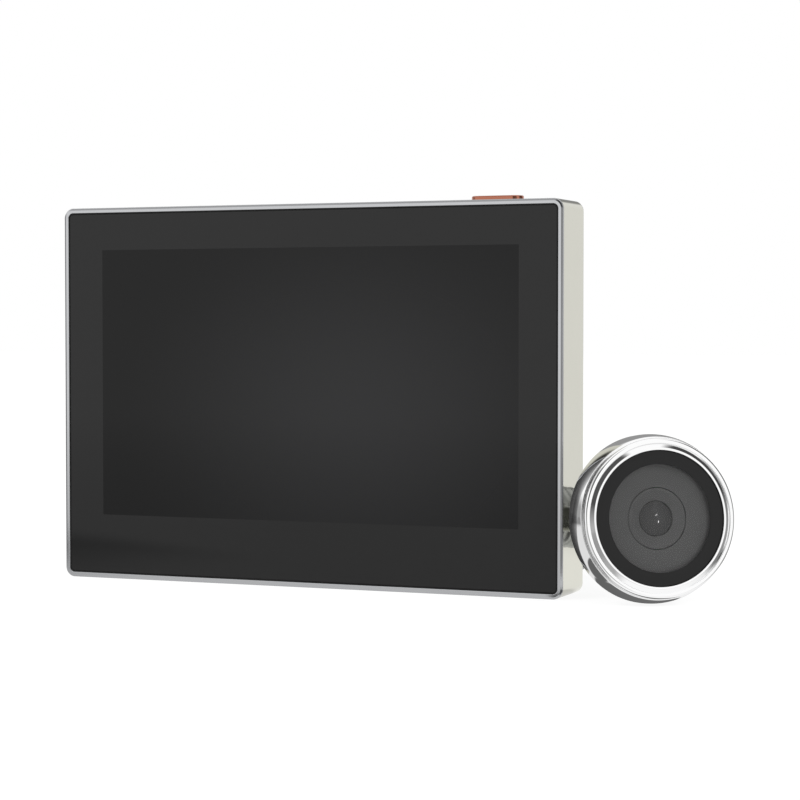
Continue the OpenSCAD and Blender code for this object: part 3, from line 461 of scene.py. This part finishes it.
def softened(profile, radius, steps=4):
    """A closed profile whose corners are rounded by curves of at most the given size."""
    given = [Vector(point) for point in profile]
    points = [point for i, point in enumerate(given) if (point - given[i - 1]).length > 1e-6]
    done = []
    for i, corner in enumerate(points):
        before = points[i - 1] - corner
        after = points[(i + 1) % len(points)] - corner
        reach = min(radius, before.length * 0.45, after.length * 0.45)
        first = corner + before.normalized() * reach
        last = corner + after.normalized() * reach
        if corner.x < 1e-9 or before.angle(after) > math.radians(165):
            done.append(corner)
            continue
        for k in range(steps + 1):
            t = k / steps
            done.append(first * (1 - t) ** 2 + corner * 2 * t * (1 - t) + last * t * t)
    return done


def arc(middle, radius, start, end, steps):
    """Points of an arc in the profile's plane, angles in degrees."""
    turn = [math.radians(start + (end - start) * k / steps) for k in range(steps + 1)]
    return [(middle[0] + radius * math.cos(a), middle[1] + radius * math.sin(a)) for a in turn]


def close_grid(name, rows, place):
    """A closed mesh from rows of points that join round and end to end."""
    mesh = bpy.data.meshes.new(name)
    form = bmesh.new()
    grid = [[form.verts.new(place @ Vector(p)) for p in row] for row in rows]
    across = len(rows[0])
    for i in range(len(grid)):
        here, there = grid[i - 1], grid[i]
        for j in range(across):
            form.faces.new((here[j - 1], here[j], there[j], there[j - 1]))
    bmesh.ops.remove_doubles(form, verts=form.verts, dist=1e-7)
    bmesh.ops.dissolve_degenerate(form, edges=form.edges, dist=1e-7)
    bmesh.ops.recalc_face_normals(form, faces=form.faces)
    form.to_mesh(mesh)
    form.free()
    smooth(mesh)
    return mesh


def turned(name, profile, edge):
    """A solid of revolution about the head's axis, from a closed profile of radius and height in mm."""
    rows = []
    turn = [2 * math.pi * k / ROUND_STEPS for k in range(ROUND_STEPS)]
    for point in softened(profile, edge / MM):
        radius, height = point.x * MM, point.y * MM
        rows.append([(radius * math.cos(a), radius * math.sin(a), height) for a in turn])
    return add_object(name, close_grid(name, rows, head_matrix()))


def eased_copy(node, name, width, angle=40):
    """A copy of a CAD node with its doubles merged and its sharp edges eased by a small bevel."""
    mesh = bpy.data.meshes.new(name)
    form = bmesh.new()
    form.from_mesh(frame["nodes"][node].data)
    bmesh.ops.remove_doubles(form, verts=form.verts, dist=2e-6)
    bmesh.ops.dissolve_limit(form, angle_limit=math.radians(0.5), verts=form.verts, edges=form.edges)
    form.to_mesh(mesh)
    form.free()
    mesh.materials.clear()
    smooth(mesh, 25)
    piece = add_object(name, mesh)
    bevel = piece.modifiers.new("eased_edges", "BEVEL")
    bevel.width = width * MM
    bevel.segments = 2
    bevel.limit_method = "ANGLE"
    bevel.angle_limit = math.radians(angle)
    bevel.harden_normals = True
    return piece


def grown(tree, name, inputs):
    """Runs a geometry tree with the given inputs and returns its result as a plain mesh."""
    carrier = add_object(name, bpy.data.meshes.new(name + "_seed"))
    modifier = carrier.modifiers.new(name, "NODES")
    modifier.node_group = tree
    sockets = {item.name: item.identifier for item in tree.interface.items_tree if item.in_out == "INPUT"}
    for key, value in inputs.items():
        modifier[sockets[key]] = value
    shown = carrier.evaluated_get(bpy.context.evaluated_depsgraph_get())
    mesh = bpy.data.meshes.new_from_object(shown)
    carrier.modifiers.remove(modifier)
    bpy.data.objects.remove(carrier)
    return mesh


def new_tree(name, numbers):
    """A geometry tree with one input for each named number and one for its finish."""
    tree = bpy.data.node_groups.new(name, "GeometryNodeTree")
    tree.interface.new_socket("Geometry", in_out="OUTPUT", socket_type="NodeSocketGeometry")
    tree.interface.new_socket("Geometry", in_out="INPUT", socket_type="NodeSocketGeometry")
    for key in numbers:
        tree.interface.new_socket(key, in_out="INPUT", socket_type="NodeSocketFloat")
    tree.interface.new_socket("Finish", in_out="INPUT", socket_type="NodeSocketMaterial")
    return tree, put(tree, "NodeGroupInput"), put(tree, "NodeGroupOutput")


def end_tree(tree, given, out, shape):
    """Ends a geometry tree: instances made real, then the finish."""
    real = put(tree, "GeometryNodeRealizeInstances", {0: shape})
    dressed = put(tree, "GeometryNodeSetMaterial", {
        0: real.outputs[0], "Material": given.outputs["Finish"]})
    tree.links.new(dressed.outputs[0], out.inputs[0])


def thread_tree():
    """A helical ridge, left out where keyways run along the tube."""
    numbers = ("Radius", "Pitch", "Turns", "Ridge", "Key Half Width")
    tree, given, out = new_tree("helical_thread", numbers)
    size = given.outputs
    height = put(tree, "ShaderNodeMath", {0: size["Pitch"], 1: size["Turns"]}, operation="MULTIPLY")
    helix = put(tree, "GeometryNodeCurveSpiral", {
        "Resolution": 64, "Rotations": size["Turns"], "Start Radius": size["Radius"],
        "End Radius": size["Radius"], "Height": height.outputs[0]})
    wire = put(tree, "GeometryNodeCurveToMesh", {0: helix.outputs[0]})
    where = put(tree, "ShaderNodeSeparateXYZ", {0: put(tree, "GeometryNodeInputPosition").outputs[0]})
    aside = put(tree, "ShaderNodeMath", {0: where.outputs[1]}, operation="ABSOLUTE")
    keyed = put(tree, "ShaderNodeMath", {
        0: aside.outputs[0], 1: size["Key Half Width"]}, operation="LESS_THAN")
    cut = put(tree, "GeometryNodeDeleteGeometry", {
        0: wire.outputs[0], "Selection": keyed.outputs[0]}, domain="POINT")
    lines = put(tree, "GeometryNodeMeshToCurve", {0: cut.outputs[0]})
    upright = put(tree, "GeometryNodeSetCurveNormal", {0: lines.outputs[0]}, mode="Z_UP")
    section = put(tree, "GeometryNodeCurvePrimitiveCircle", {"Resolution": 4, "Radius": size["Ridge"]})
    ridge = put(tree, "GeometryNodeCurveToMesh", {
        0: upright.outputs[0], "Profile Curve": section.outputs[0], "Fill Caps": True})
    end_tree(tree, given, out, ridge.outputs[0])
    return tree


def screw_tree():
    """Four screws with cross recesses at the corners of a rectangle."""
    numbers = ("Span X", "Span Y", "Head Radius", "Head Height", "Shank Radius", "Shank Length",
               "Slot Width", "Slot Length", "Slot Depth")
    tree, given, out = new_tree("cross_screws", numbers)
    size = given.outputs
    head = put(tree, "GeometryNodeMeshCylinder", {
        "Vertices": 48, "Radius": size["Head Radius"], "Depth": size["Head Height"]})
    rise = put(tree, "ShaderNodeMath", {0: size["Head Height"], 1: 0.5}, operation="MULTIPLY")
    lift = put(tree, "ShaderNodeCombineXYZ", {2: rise.outputs[0]})
    shape = head.outputs[0]
    for first, second in (("Slot Length", "Slot Width"), ("Slot Width", "Slot Length")):
        block = put(tree, "ShaderNodeCombineXYZ", {
            0: size[first], 1: size[second], 2: size["Slot Depth"]})
        arm = put(tree, "GeometryNodeMeshCube", {"Size": block.outputs[0]})
        cutter = put(tree, "GeometryNodeTransform", {0: arm.outputs[0], "Translation": lift.outputs[0]})
        shape = put(tree, "GeometryNodeMeshBoolean", {"Mesh 1": shape, "Mesh 2": cutter.outputs[0]},
                    operation="DIFFERENCE").outputs[0]
    shank = put(tree, "GeometryNodeMeshCylinder", {
        "Vertices": 32, "Radius": size["Shank Radius"], "Depth": size["Shank Length"]})
    length = put(tree, "ShaderNodeMath", {
        0: size["Shank Length"], 1: size["Head Height"]}, operation="ADD")
    sink = put(tree, "ShaderNodeMath", {0: length.outputs[0], 1: -0.5}, operation="MULTIPLY")
    drop = put(tree, "ShaderNodeCombineXYZ", {2: sink.outputs[0]})
    hung = put(tree, "GeometryNodeTransform", {0: shank.outputs[0], "Translation": drop.outputs[0]})
    whole = put(tree, "GeometryNodeJoinGeometry")
    tree.links.new(shape, whole.inputs[0])
    tree.links.new(hung.outputs[0], whole.inputs[0])
    corners = put(tree, "GeometryNodeMeshGrid", {
        "Size X": size["Span X"], "Size Y": size["Span Y"], "Vertices X": 2, "Vertices Y": 2})
    spread = put(tree, "GeometryNodeInstanceOnPoints", {
        0: corners.outputs[0], "Instance": whole.outputs[0]})
    end_tree(tree, given, out, spread.outputs[0])
    return tree


def flag_level(tree, heading, height):
    """How bright a reflection finds the studio in a heading. Without a height it is for the floor."""
    flat = put(tree, "ShaderNodeVectorMath", {0: heading, 1: (1, 1, 0)}, operation="MULTIPLY")
    reach = put(tree, "ShaderNodeVectorMath", {0: flat.outputs[0]}, operation="LENGTH")
    way = put(tree, "ShaderNodeVectorMath", {0: flat.outputs[0]}, operation="NORMALIZE")
    level = 1.0
    for middle, half, soft, low, high, dark, near in FLAGS:
        if height is None and not near:
            continue
        aim = (math.cos(math.radians(middle)), math.sin(math.radians(middle)), 0)
        dot = put(tree, "ShaderNodeVectorMath", {0: way.outputs[0], 1: aim}, operation="DOT_PRODUCT")
        rim, full = math.cos(math.radians(half)), math.cos(math.radians(half - soft))
        spans = [(dot.outputs["Value"], rim, full, 0.0)]
        if height is None:
            spans.append((reach.outputs["Value"], near * MM, FLAG_FADE * near * MM, 0.0))
        else:
            for edge, first in ((low, 0.0), (high, 1.0)):
                start, end = math.radians(edge - FLAG_SOFT), math.radians(edge + FLAG_SOFT)
                spans.append((height, math.sin(start), math.sin(end), first))
        hidden = 1.0 - dark
        for value, start, end, first in spans:
            part = put(tree, "ShaderNodeMapRange", {
                "Value": value, "From Min": start, "From Max": end,
                "To Min": first, "To Max": 1.0 - first}, interpolation_type="SMOOTHSTEP")
            hidden = put(tree, "ShaderNodeMath", {
                0: hidden, 1: part.outputs[0]}, operation="MULTIPLY").outputs[0]
        left = put(tree, "ShaderNodeMath", {0: 1.0, 1: hidden}, operation="SUBTRACT")
        level = put(tree, "ShaderNodeMath", {
            0: level, 1: left.outputs[0]}, operation="MULTIPLY").outputs[0]
    return level


class DOORCAM_OT_stage(bpy.types.Operator):
    """White floor, soft studio light and the camera"""
    bl_idname = "doorcam.stage"
    bl_label = "Stage"

    def execute(self, context):
        scene = context.scene
        scene.view_settings.view_transform = "Standard"
        lens = bpy.data.cameras.new("camera")
        lens.sensor_width = 36
        lens.lens = CAMERA_LENS
        lens.clip_start = 0.01
        camera = bpy.data.objects.new("camera", lens)
        camera.location = CAMERA_PLACE
        camera.rotation_euler = (math.radians(90 - CAMERA_TILT), 0, math.radians(CAMERA_TURN))
        scene.collection.objects.link(camera)
        scene.camera = camera
        self.floor()
        self.lamps(scene)
        self.world(scene)
        return {"FINISHED"}

    def floor(self):
        """White paper with soft shadows, and in reflections an even sheet with dark and bright places: the dark
        flags, painted contact shadows at the head's foot and painted pools of light
        """
        mesh = bpy.data.meshes.new("floor")
        reach = 4.0
        corners = [(-reach, -reach, 0), (reach, -reach, 0), (reach, reach, 0), (-reach, reach, 0)]
        mesh.from_pydata(corners, [], [(0, 1, 2, 3)])
        material, tree, out = blank("white_paper")
        place = put(tree, "ShaderNodeTexCoord").outputs["Object"]
        around = put(tree, "ShaderNodeVectorMath", {0: place, 1: FLAG_MIDDLE}, operation="SUBTRACT")
        depth = put(tree, "ShaderNodeSeparateXYZ", {0: place}).outputs[1]
        sheet = 0.0
        for start, end, first, last in FLOOR_CHANGES:
            change = put(tree, "ShaderNodeMapRange", {
                "Value": depth, "From Min": start * MM, "From Max": end * MM,
                "To Min": first, "To Max": last}, interpolation_type="SMOOTHSTEP")
            sheet = put(tree, "ShaderNodeMath", {
                0: sheet, 1: change.outputs[0]}, operation="MAXIMUM").outputs[0]
        flags = flag_level(tree, around.outputs[0], None)
        level = put(tree, "ShaderNodeMath", {0: flags, 1: sheet}, operation="MULTIPLY").outputs[0]
        # Painted contact shadows and painted pools of light, seen only in reflections
        for x, y, squeeze, near, far, first in PAINTED_FLOOR_SHADE_AND_LIGHT:
            moved = put(tree, "ShaderNodeVectorMath", {
                0: place, 1: (1, squeeze, 0), 2: (-x * MM, -y * squeeze * MM, 0)},
                operation="MULTIPLY_ADD")
            away = put(tree, "ShaderNodeVectorMath", {0: moved.outputs[0]}, operation="LENGTH")
            painted_patch = put(tree, "ShaderNodeMapRange", {
                "Value": away.outputs["Value"], "From Min": near * MM, "From Max": far * MM,
                "To Min": first}, interpolation_type="SMOOTHSTEP")
            level = put(tree, "ShaderNodeMath", {0: level, 1: painted_patch.outputs[0]},
                        operation="MINIMUM" if first < 1 else "MULTIPLY").outputs[0]
        paper = put(tree, "ShaderNodeBsdfDiffuse", {"Color": linear("E8E8E8")})
        shade = put(tree, "ShaderNodeBsdfDiffuse", {"Color": linear("6E6E6E")})
        glow = put(tree, "ShaderNodeEmission", {"Strength": 0.9})
        bright = put(tree, "ShaderNodeAddShader", {0: shade.outputs[0], 1: glow.outputs[0]})
        mirrored = put(tree, "ShaderNodeEmission", {"Strength": level})
        mixed = by_ray(tree, bright.outputs[0], mirrored.outputs[0], paper.outputs[0])
        tree.links.new(mixed, out.inputs[0])
        mesh.materials.append(material)
        add_object("floor", mesh)

    def lamps(self, scene):
        """A large soft key from the upper left, a weaker one from the right, two glints for the lens"""
        glinting = bpy.data.collections.new("glinting_lens")
        for name, place, target, size, power, catch in LAMPS:
            light = bpy.data.lights.new(name, "AREA")
            light.shape = "DISK"
            light.size = size
            light.energy = power
            lamp = bpy.data.objects.new(name, light)
            lamp.location = place
            lamp.rotation_euler = (Vector(target) - Vector(place)).to_track_quat("-Z", "Y").to_euler()
            lamp.visible_glossy = catch
            lamp.visible_diffuse = not catch
            lamp.visible_transmission = False
            lamp.visible_camera = False
            if catch:
                lamp.light_linking.receiver_collection = glinting
            scene.collection.objects.link(lamp)

    def world(self, scene):
        """White to the camera, plain light on the object, and dark flags that only reflections show"""
        world = bpy.data.worlds.new("studio")
        scene.world = world
        world.use_nodes = True
        tree = world.node_tree
        tree.nodes.clear()
        ray = put(tree, "ShaderNodeTexCoord").outputs["Generated"]
        height = put(tree, "ShaderNodeSeparateXYZ", {0: ray}).outputs[2]
        white = linear("FFFFFF")
        seen, mirrored, lighting = [
            put(tree, "ShaderNodeBackground", {"Color": white, "Strength": strength}).outputs[0]
            for strength in (1.0, flag_level(tree, ray, height), 0.75)]
        end = put(tree, "ShaderNodeOutputWorld")
        tree.links.new(by_ray(tree, seen, mirrored, lighting), end.inputs[0])


class DOORCAM_OT_inner_parts(bpy.types.Operator):
    """Gives every solid its finish"""
    bl_idname = "doorcam.inner_parts"
    bl_label = "Inner parts"

    def execute(self, context):
        for node, piece in frame["nodes"].items():
            piece.data.materials.clear()
            piece.data.materials.append(finish(NODE_SLOT[node]))
        return {"FINISHED"}


class DOORCAM_OT_housing(bpy.types.Operator):
    """Polished housing and front frame with eased edges"""
    bl_idname = "doorcam.housing"
    bl_label = "Housing and frame"

    def execute(self, context):
        hand_over(eased_copy("rear_shell", "polished_housing", 0.1), "rear_shell")
        hand_over(eased_copy("front_frame", "glass_frame", 0.12, 30), "front_frame")
        return {"FINISHED"}


class DOORCAM_OT_button(bpy.types.Operator):
    """Copper coloured button with eased edges"""
    bl_idname = "doorcam.button"
    bl_label = "Top button"

    def execute(self, context):
        hand_over(eased_copy("top_button", "copper_button", 0.06), "top_button")
        return {"FINISHED"}


class DOORCAM_OT_case_screws(bpy.types.Operator):
    """Four screws with cross recesses in the housing's back"""
    bl_idname = "doorcam.case_screws"
    bl_label = "Housing screws"

    def execute(self, context):
        size = context.scene.door_camera.screw
        low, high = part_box("housing_screws")
        head = 1.0 * MM
        width = 2 * size.head_radius
        mesh = grown(screw_tree(), "case_screws", {
            "Span X": high.x - low.x - width, "Span Y": high.z - low.z - width,
            "Head Radius": size.head_radius, "Head Height": head, "Shank Radius": size.shank_radius,
            "Shank Length": high.y - low.y - head, "Slot Width": size.slot_width,
            "Slot Length": size.head_radius * 1.3, "Slot Depth": head * 1.1,
            "Finish": finish("screw_steel")})
        place = Matrix.Translation((0, high.y - head / 2, (low.z + high.z) / 2))
        mesh.transform(place @ Matrix.Rotation(math.radians(-90), 4, "X"))
        smooth(mesh)
        hand_over(add_object("case_screws", mesh), "housing_screws")
        return {"FINISHED"}


class DOORCAM_OT_bracket(bpy.types.Operator):
    """Galvanised door bracket with eased edges"""
    bl_idname = "doorcam.bracket"
    bl_label = "Door bracket"

    def execute(self, context):
        hand_over(eased_copy("bracket_plate", "galvanised_bracket", 0.12), "bracket_plate")
        return {"FINISHED"}


class DOORCAM_OT_head_rings(bpy.types.Operator):
    """Turned body, bezel, glass and lens rings of the camera head"""
    bl_idname = "doorcam.head_rings"
    bl_label = "Camera head"

    def execute(self, context):
        size = context.scene.door_camera.head
        flange, bezel, glass = size.flange_radius / MM, size.bezel_radius / MM, size.glass_radius / MM
        self.body(flange, size.edge)
        self.bezel(bezel, glass, size.edge)
        self.lens(glass, size.edge)
        return {"FINISHED"}

    def body(self, flange, edge):
        """Drum with a rounded back edge, a straight rim and a curve in to the bezel"""
        back, rim_top, front, round_r, curve = 0.6, 2.5, 6.7, 0.7, 12.0
        tube_hole, seal_in, seal_out, seal_floor = 7.25, 9.45, 17.45, 1.0
        spigot_seat, step, room, floor = 16.95, 5.55, 14.9, 2.2
        sweep = math.degrees(math.asin((front - rim_top) / curve))
        rim = arc((flange - round_r, back + round_r), round_r, -90, 0, 10)
        rim += arc((flange - curve, rim_top), curve, 0, sweep, 16)
        profile = [(tube_hole, back), (seal_in, back), (seal_in, seal_floor), (seal_out, seal_floor)]
        profile += [(seal_out, back)] + rim + [(spigot_seat, front), (spigot_seat, step)]
        profile += [(room, step), (room, floor), (tube_hole, floor)]
        hand_over(turned("chromed_body", profile, edge), "head_body")

    def bezel(self, bezel, glass, edge):
        """Thin cap with a spigot, a sloped groove round the glass and the ledge under it"""
        back, top, round_r = 6.85, 8.35, 0.55
        spigot, spigot_back = 16.9, 5.6
        ledge, ledge_top, glass_seat = glass - 0.8, 6.45, glass + 0.05
        groove_in, groove_out, groove_low = glass + 0.55, glass + 1.55, top - 0.4
        profile = [(ledge, ledge_top), (ledge, spigot_back), (spigot, spigot_back), (spigot, back)]
        profile += [(bezel, back), (bezel, top - round_r)]
        profile += arc((bezel - round_r, top - round_r), round_r, 0, 90, 12)
        profile += [(groove_out, top), (groove_out, groove_low), (groove_in, top)]
        profile += [(glass_seat, top), (glass_seat, ledge_top)]
        hand_over(turned("chromed_bezel", profile, edge / 2), "head_bezel")

    def lens(self, glass, edge):
        """Glass with its black border and a painted shadow line at its edge, dished shroud, retaining ring and
        domed lens
        """
        self.glass(glass)
        board, low, rim, lens_top = 4.1, 5.5, 6.2, 6.15
        hole, skirt_in, skirt_out, wall = 6.95, 11.4, 12.2, 11.95
        brim, brim_back, brim_top = 12.55, 6.92, 6.95
        shroud = [(hole, low), (skirt_in, low), (skirt_in, board), (skirt_out, board), (skirt_out, rim)]
        shroud += [(wall, rim), (wall, brim_back), (brim, brim_back), (brim, brim_top)]
        shroud += [(wall - 0.05, brim_top), (hole, rim)]
        hand_over(turned("lens_cup", shroud, 0.0), "lens_shroud")
        ring_in, ring_flat, ring_out = 3.95, 6.25, 6.85
        ring = [(ring_in, board), (ring_out, board), (ring_out, lens_top), (ring_flat, lens_top)]
        ring.append((ring_in, low))
        hand_over(turned("lens_retainer", ring, edge), "lens_ring")
        curve, lens = 10.0, 3.85
        sweep = math.degrees(math.asin(lens / curve))
        dome = [(0, board), (lens, board)] + arc((0, lens_top - curve), curve, 90 - sweep, 90, 48)
        front = turned("domed_lens", dome, edge)
        hand_over(front, "lens_element")
        bpy.data.collections["glinting_lens"].objects.link(front)

    def glass(self, glass):
        """Clear pane under the lip of its black border, and the dark line round the border's edge, a painted
        shadow of the gap to the bezel
        """
        back, top, pane_back = 6.9, 8.0, 6.97
        window, body, gap = 12.0, 12.6, 0.02
        lip, lip_root = 7.94, 7.9
        inked, bevel_low, bevel_top = glass - 0.16, 7.7, 7.84
        pane = [(0, pane_back), (body - gap, pane_back), (body - gap, lip_root - gap)]
        pane += [(window, lip - gap), (window, top), (0, top)]
        hand_over(turned("round_glass", pane, 0.0), "head_glass")
        border = [(body, back), (glass, back), (glass, bevel_low), (inked, bevel_top), (inked, top)]
        border += [(window + gap, top), (window + gap, lip), (body, lip_root)]
        # Dark ring in the black rubber finish at the glass's edge: a painted shadow of the gap between glass and
        # bezel
        line = [(inked, bevel_top), (glass, bevel_low), (glass, bevel_top), (inked, top)]
        for name, profile, slot in (
                ("glass_ink", border, "mask_black"), ("glass_edge", line, "gasket_rubber")):
            piece = turned(name, profile, 0.0)
            piece.data.materials.append(finish(slot))
            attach(piece, NODE_BODY["head_glass"])


class DOORCAM_OT_door_tube(bpy.types.Operator):
    """Door tube with two keyways, a cut thread and a plain end"""
    bl_idname = "doorcam.door_tube"
    bl_label = "Door tube"

    def execute(self, context):
        size = context.scene.door_camera.thread
        crest = size.tube_radius / MM
        root = crest - size.depth / MM
        half = size.keyway_width / MM / 2
        collar, under, front = COLLAR
        bore, wide, step = BORE
        pilot, shoulder, tip = PILOT
        collar_edge, pilot_edge, bore_edge = 0.15, 0.5, 0.3
        shallow, start, end = KEYWAY_START - 0.6, KEYWAY_START - 1.5, NUT_BACK
        outer = [(collar, front - collar_edge, 0), (collar, under, 0), (crest, under, 0),
                 (crest, KEYWAY_START, 0), (crest, KEYWAY_START, 1), (crest, shallow, 1),
                 (root, start, 1), (root, end, 1), (RELIEF_RADIUS, end, 1), (RELIEF_RADIUS, shoulder, 1),
                 (pilot, shoulder, 1), (pilot, tip + pilot_edge, 1), (pilot - pilot_edge, tip, 1)]
        inner = [(bore + bore_edge, tip, 0), (bore, tip + bore_edge, 0), (bore, step, 0),
                 (wide, step, 0), (wide, front, 0), (collar - collar_edge, front, 0)]
        rows = [self.row(radius, height, keyed, half) for radius, height, keyed in outer + inner]
        tube = add_object("keyed_tube", close_grid("keyed_tube", rows, head_matrix()))
        hand_over(tube, "door_tube")
        ridge = 0.7 * MM
        lead = 0.9
        mesh = grown(thread_tree(), "tube_thread", {
            "Radius": size.tube_radius - ridge, "Pitch": size.pitch, "Turns": float(size.turns),
            "Ridge": ridge, "Key Half Width": half * MM, "Finish": finish("tube_metal")})
        mesh.transform(head_matrix() @ Matrix.Translation((0, 0, (end + lead) * MM)))
        smooth(mesh, 40)
        thread = add_object("tube_thread", mesh)
        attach(thread, NODE_BODY["door_tube"])
        return {"FINISHED"}

    def row(self, radius, height, keyed, half):
        """One row of points round the tube: floor and walls of both keyways and the arcs between them"""
        across, around = 8, 48
        floor = [-half + 2 * half * k / across for k in range(across + 1)]
        lean = math.asin(half / radius)
        bend = [lean + (math.pi - 2 * lean) * k / around for k in range(around + 1)]
        points = []
        for side in (1, -1):
            for y in floor:
                x = math.sqrt(radius ** 2 - y * y)
                if keyed:
                    x = min(KEY_FLOOR, x)
                points.append((side * x, side * y))
            for a in bend:
                points.append((side * radius * math.cos(a), side * radius * math.sin(a)))
        return [(x * MM, y * MM, height * MM) for x, y in points]


class DOORCAM_OT_clamp(bpy.types.Operator):
    """Ring nut with its inner thread, and the keyed washer"""
    bl_idname = "doorcam.clamp"
    bl_label = "Nut and washer"

    def execute(self, context):
        size = context.scene.door_camera.thread
        hand_over(eased_copy("ring_nut", "grip_nut", 0.25), "ring_nut")
        hand_over(eased_copy("tube_washer", "keyed_washer", 0.12), "tube_washer")
        ridge = 0.45 * MM
        play = 0.05 * MM
        turns = 1.35
        no_keyway = -1.0
        mesh = grown(thread_tree(), "nut_thread", {
            "Radius": size.tube_radius + play + ridge, "Pitch": size.pitch, "Turns": turns,
            "Ridge": ridge, "Key Half Width": no_keyway, "Finish": finish("nut_metal")})
        mesh.transform(head_matrix() @ Matrix.Translation((0, 0, NUT_BACK * MM + ridge)))
        smooth(mesh, 40)
        thread = add_object("nut_thread", mesh)
        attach(thread, NODE_BODY["ring_nut"])
        return {"FINISHED"}


class DOORCAM_PT_panel(bpy.types.Panel):
    """Lists the steps that dress the door camera"""
    bl_idname = "DOORCAM_PT_panel"
    bl_label = "Door camera"
    bl_space_type = "VIEW_3D"
    bl_region_type = "UI"
    bl_category = "Door camera"

    def draw(self, context):
        sizes = context.scene.door_camera
        for group in (sizes.head, sizes.thread, sizes.screw, sizes.colours):
            box = self.layout.box()
            for key in group.__annotations__:
                box.prop(group, key)
        for step in STEPS:
            self.layout.operator(step.bl_idname)


STEPS = (DOORCAM_OT_stage, DOORCAM_OT_inner_parts, DOORCAM_OT_housing, DOORCAM_OT_button,
         DOORCAM_OT_case_screws, DOORCAM_OT_bracket, DOORCAM_OT_head_rings, DOORCAM_OT_door_tube,
         DOORCAM_OT_clamp)
CLASSES = (HeadSizes, ThreadSizes, ScrewSizes, Colours, DoorCamera) + STEPS + (DOORCAM_PT_panel,)


def register():
    for item in CLASSES:
        bpy.utils.register_class(item)
    bpy.types.Scene.door_camera = PointerProperty(type=DoorCamera)


def unregister():
    del bpy.types.Scene.door_camera
    for item in reversed(CLASSES):
        bpy.utils.unregister_class(item)


def main():
    register()
    bpy.ops.doorcam.stage()
    bpy.ops.doorcam.inner_parts()
    bpy.ops.doorcam.housing()
    bpy.ops.doorcam.button()
    bpy.ops.doorcam.case_screws()
    bpy.ops.doorcam.bracket()
    bpy.ops.doorcam.head_rings()
    bpy.ops.doorcam.door_tube()
    bpy.ops.doorcam.clamp()
    bpy.context.view_layer.update()


if __name__ == "__main__":
    main()
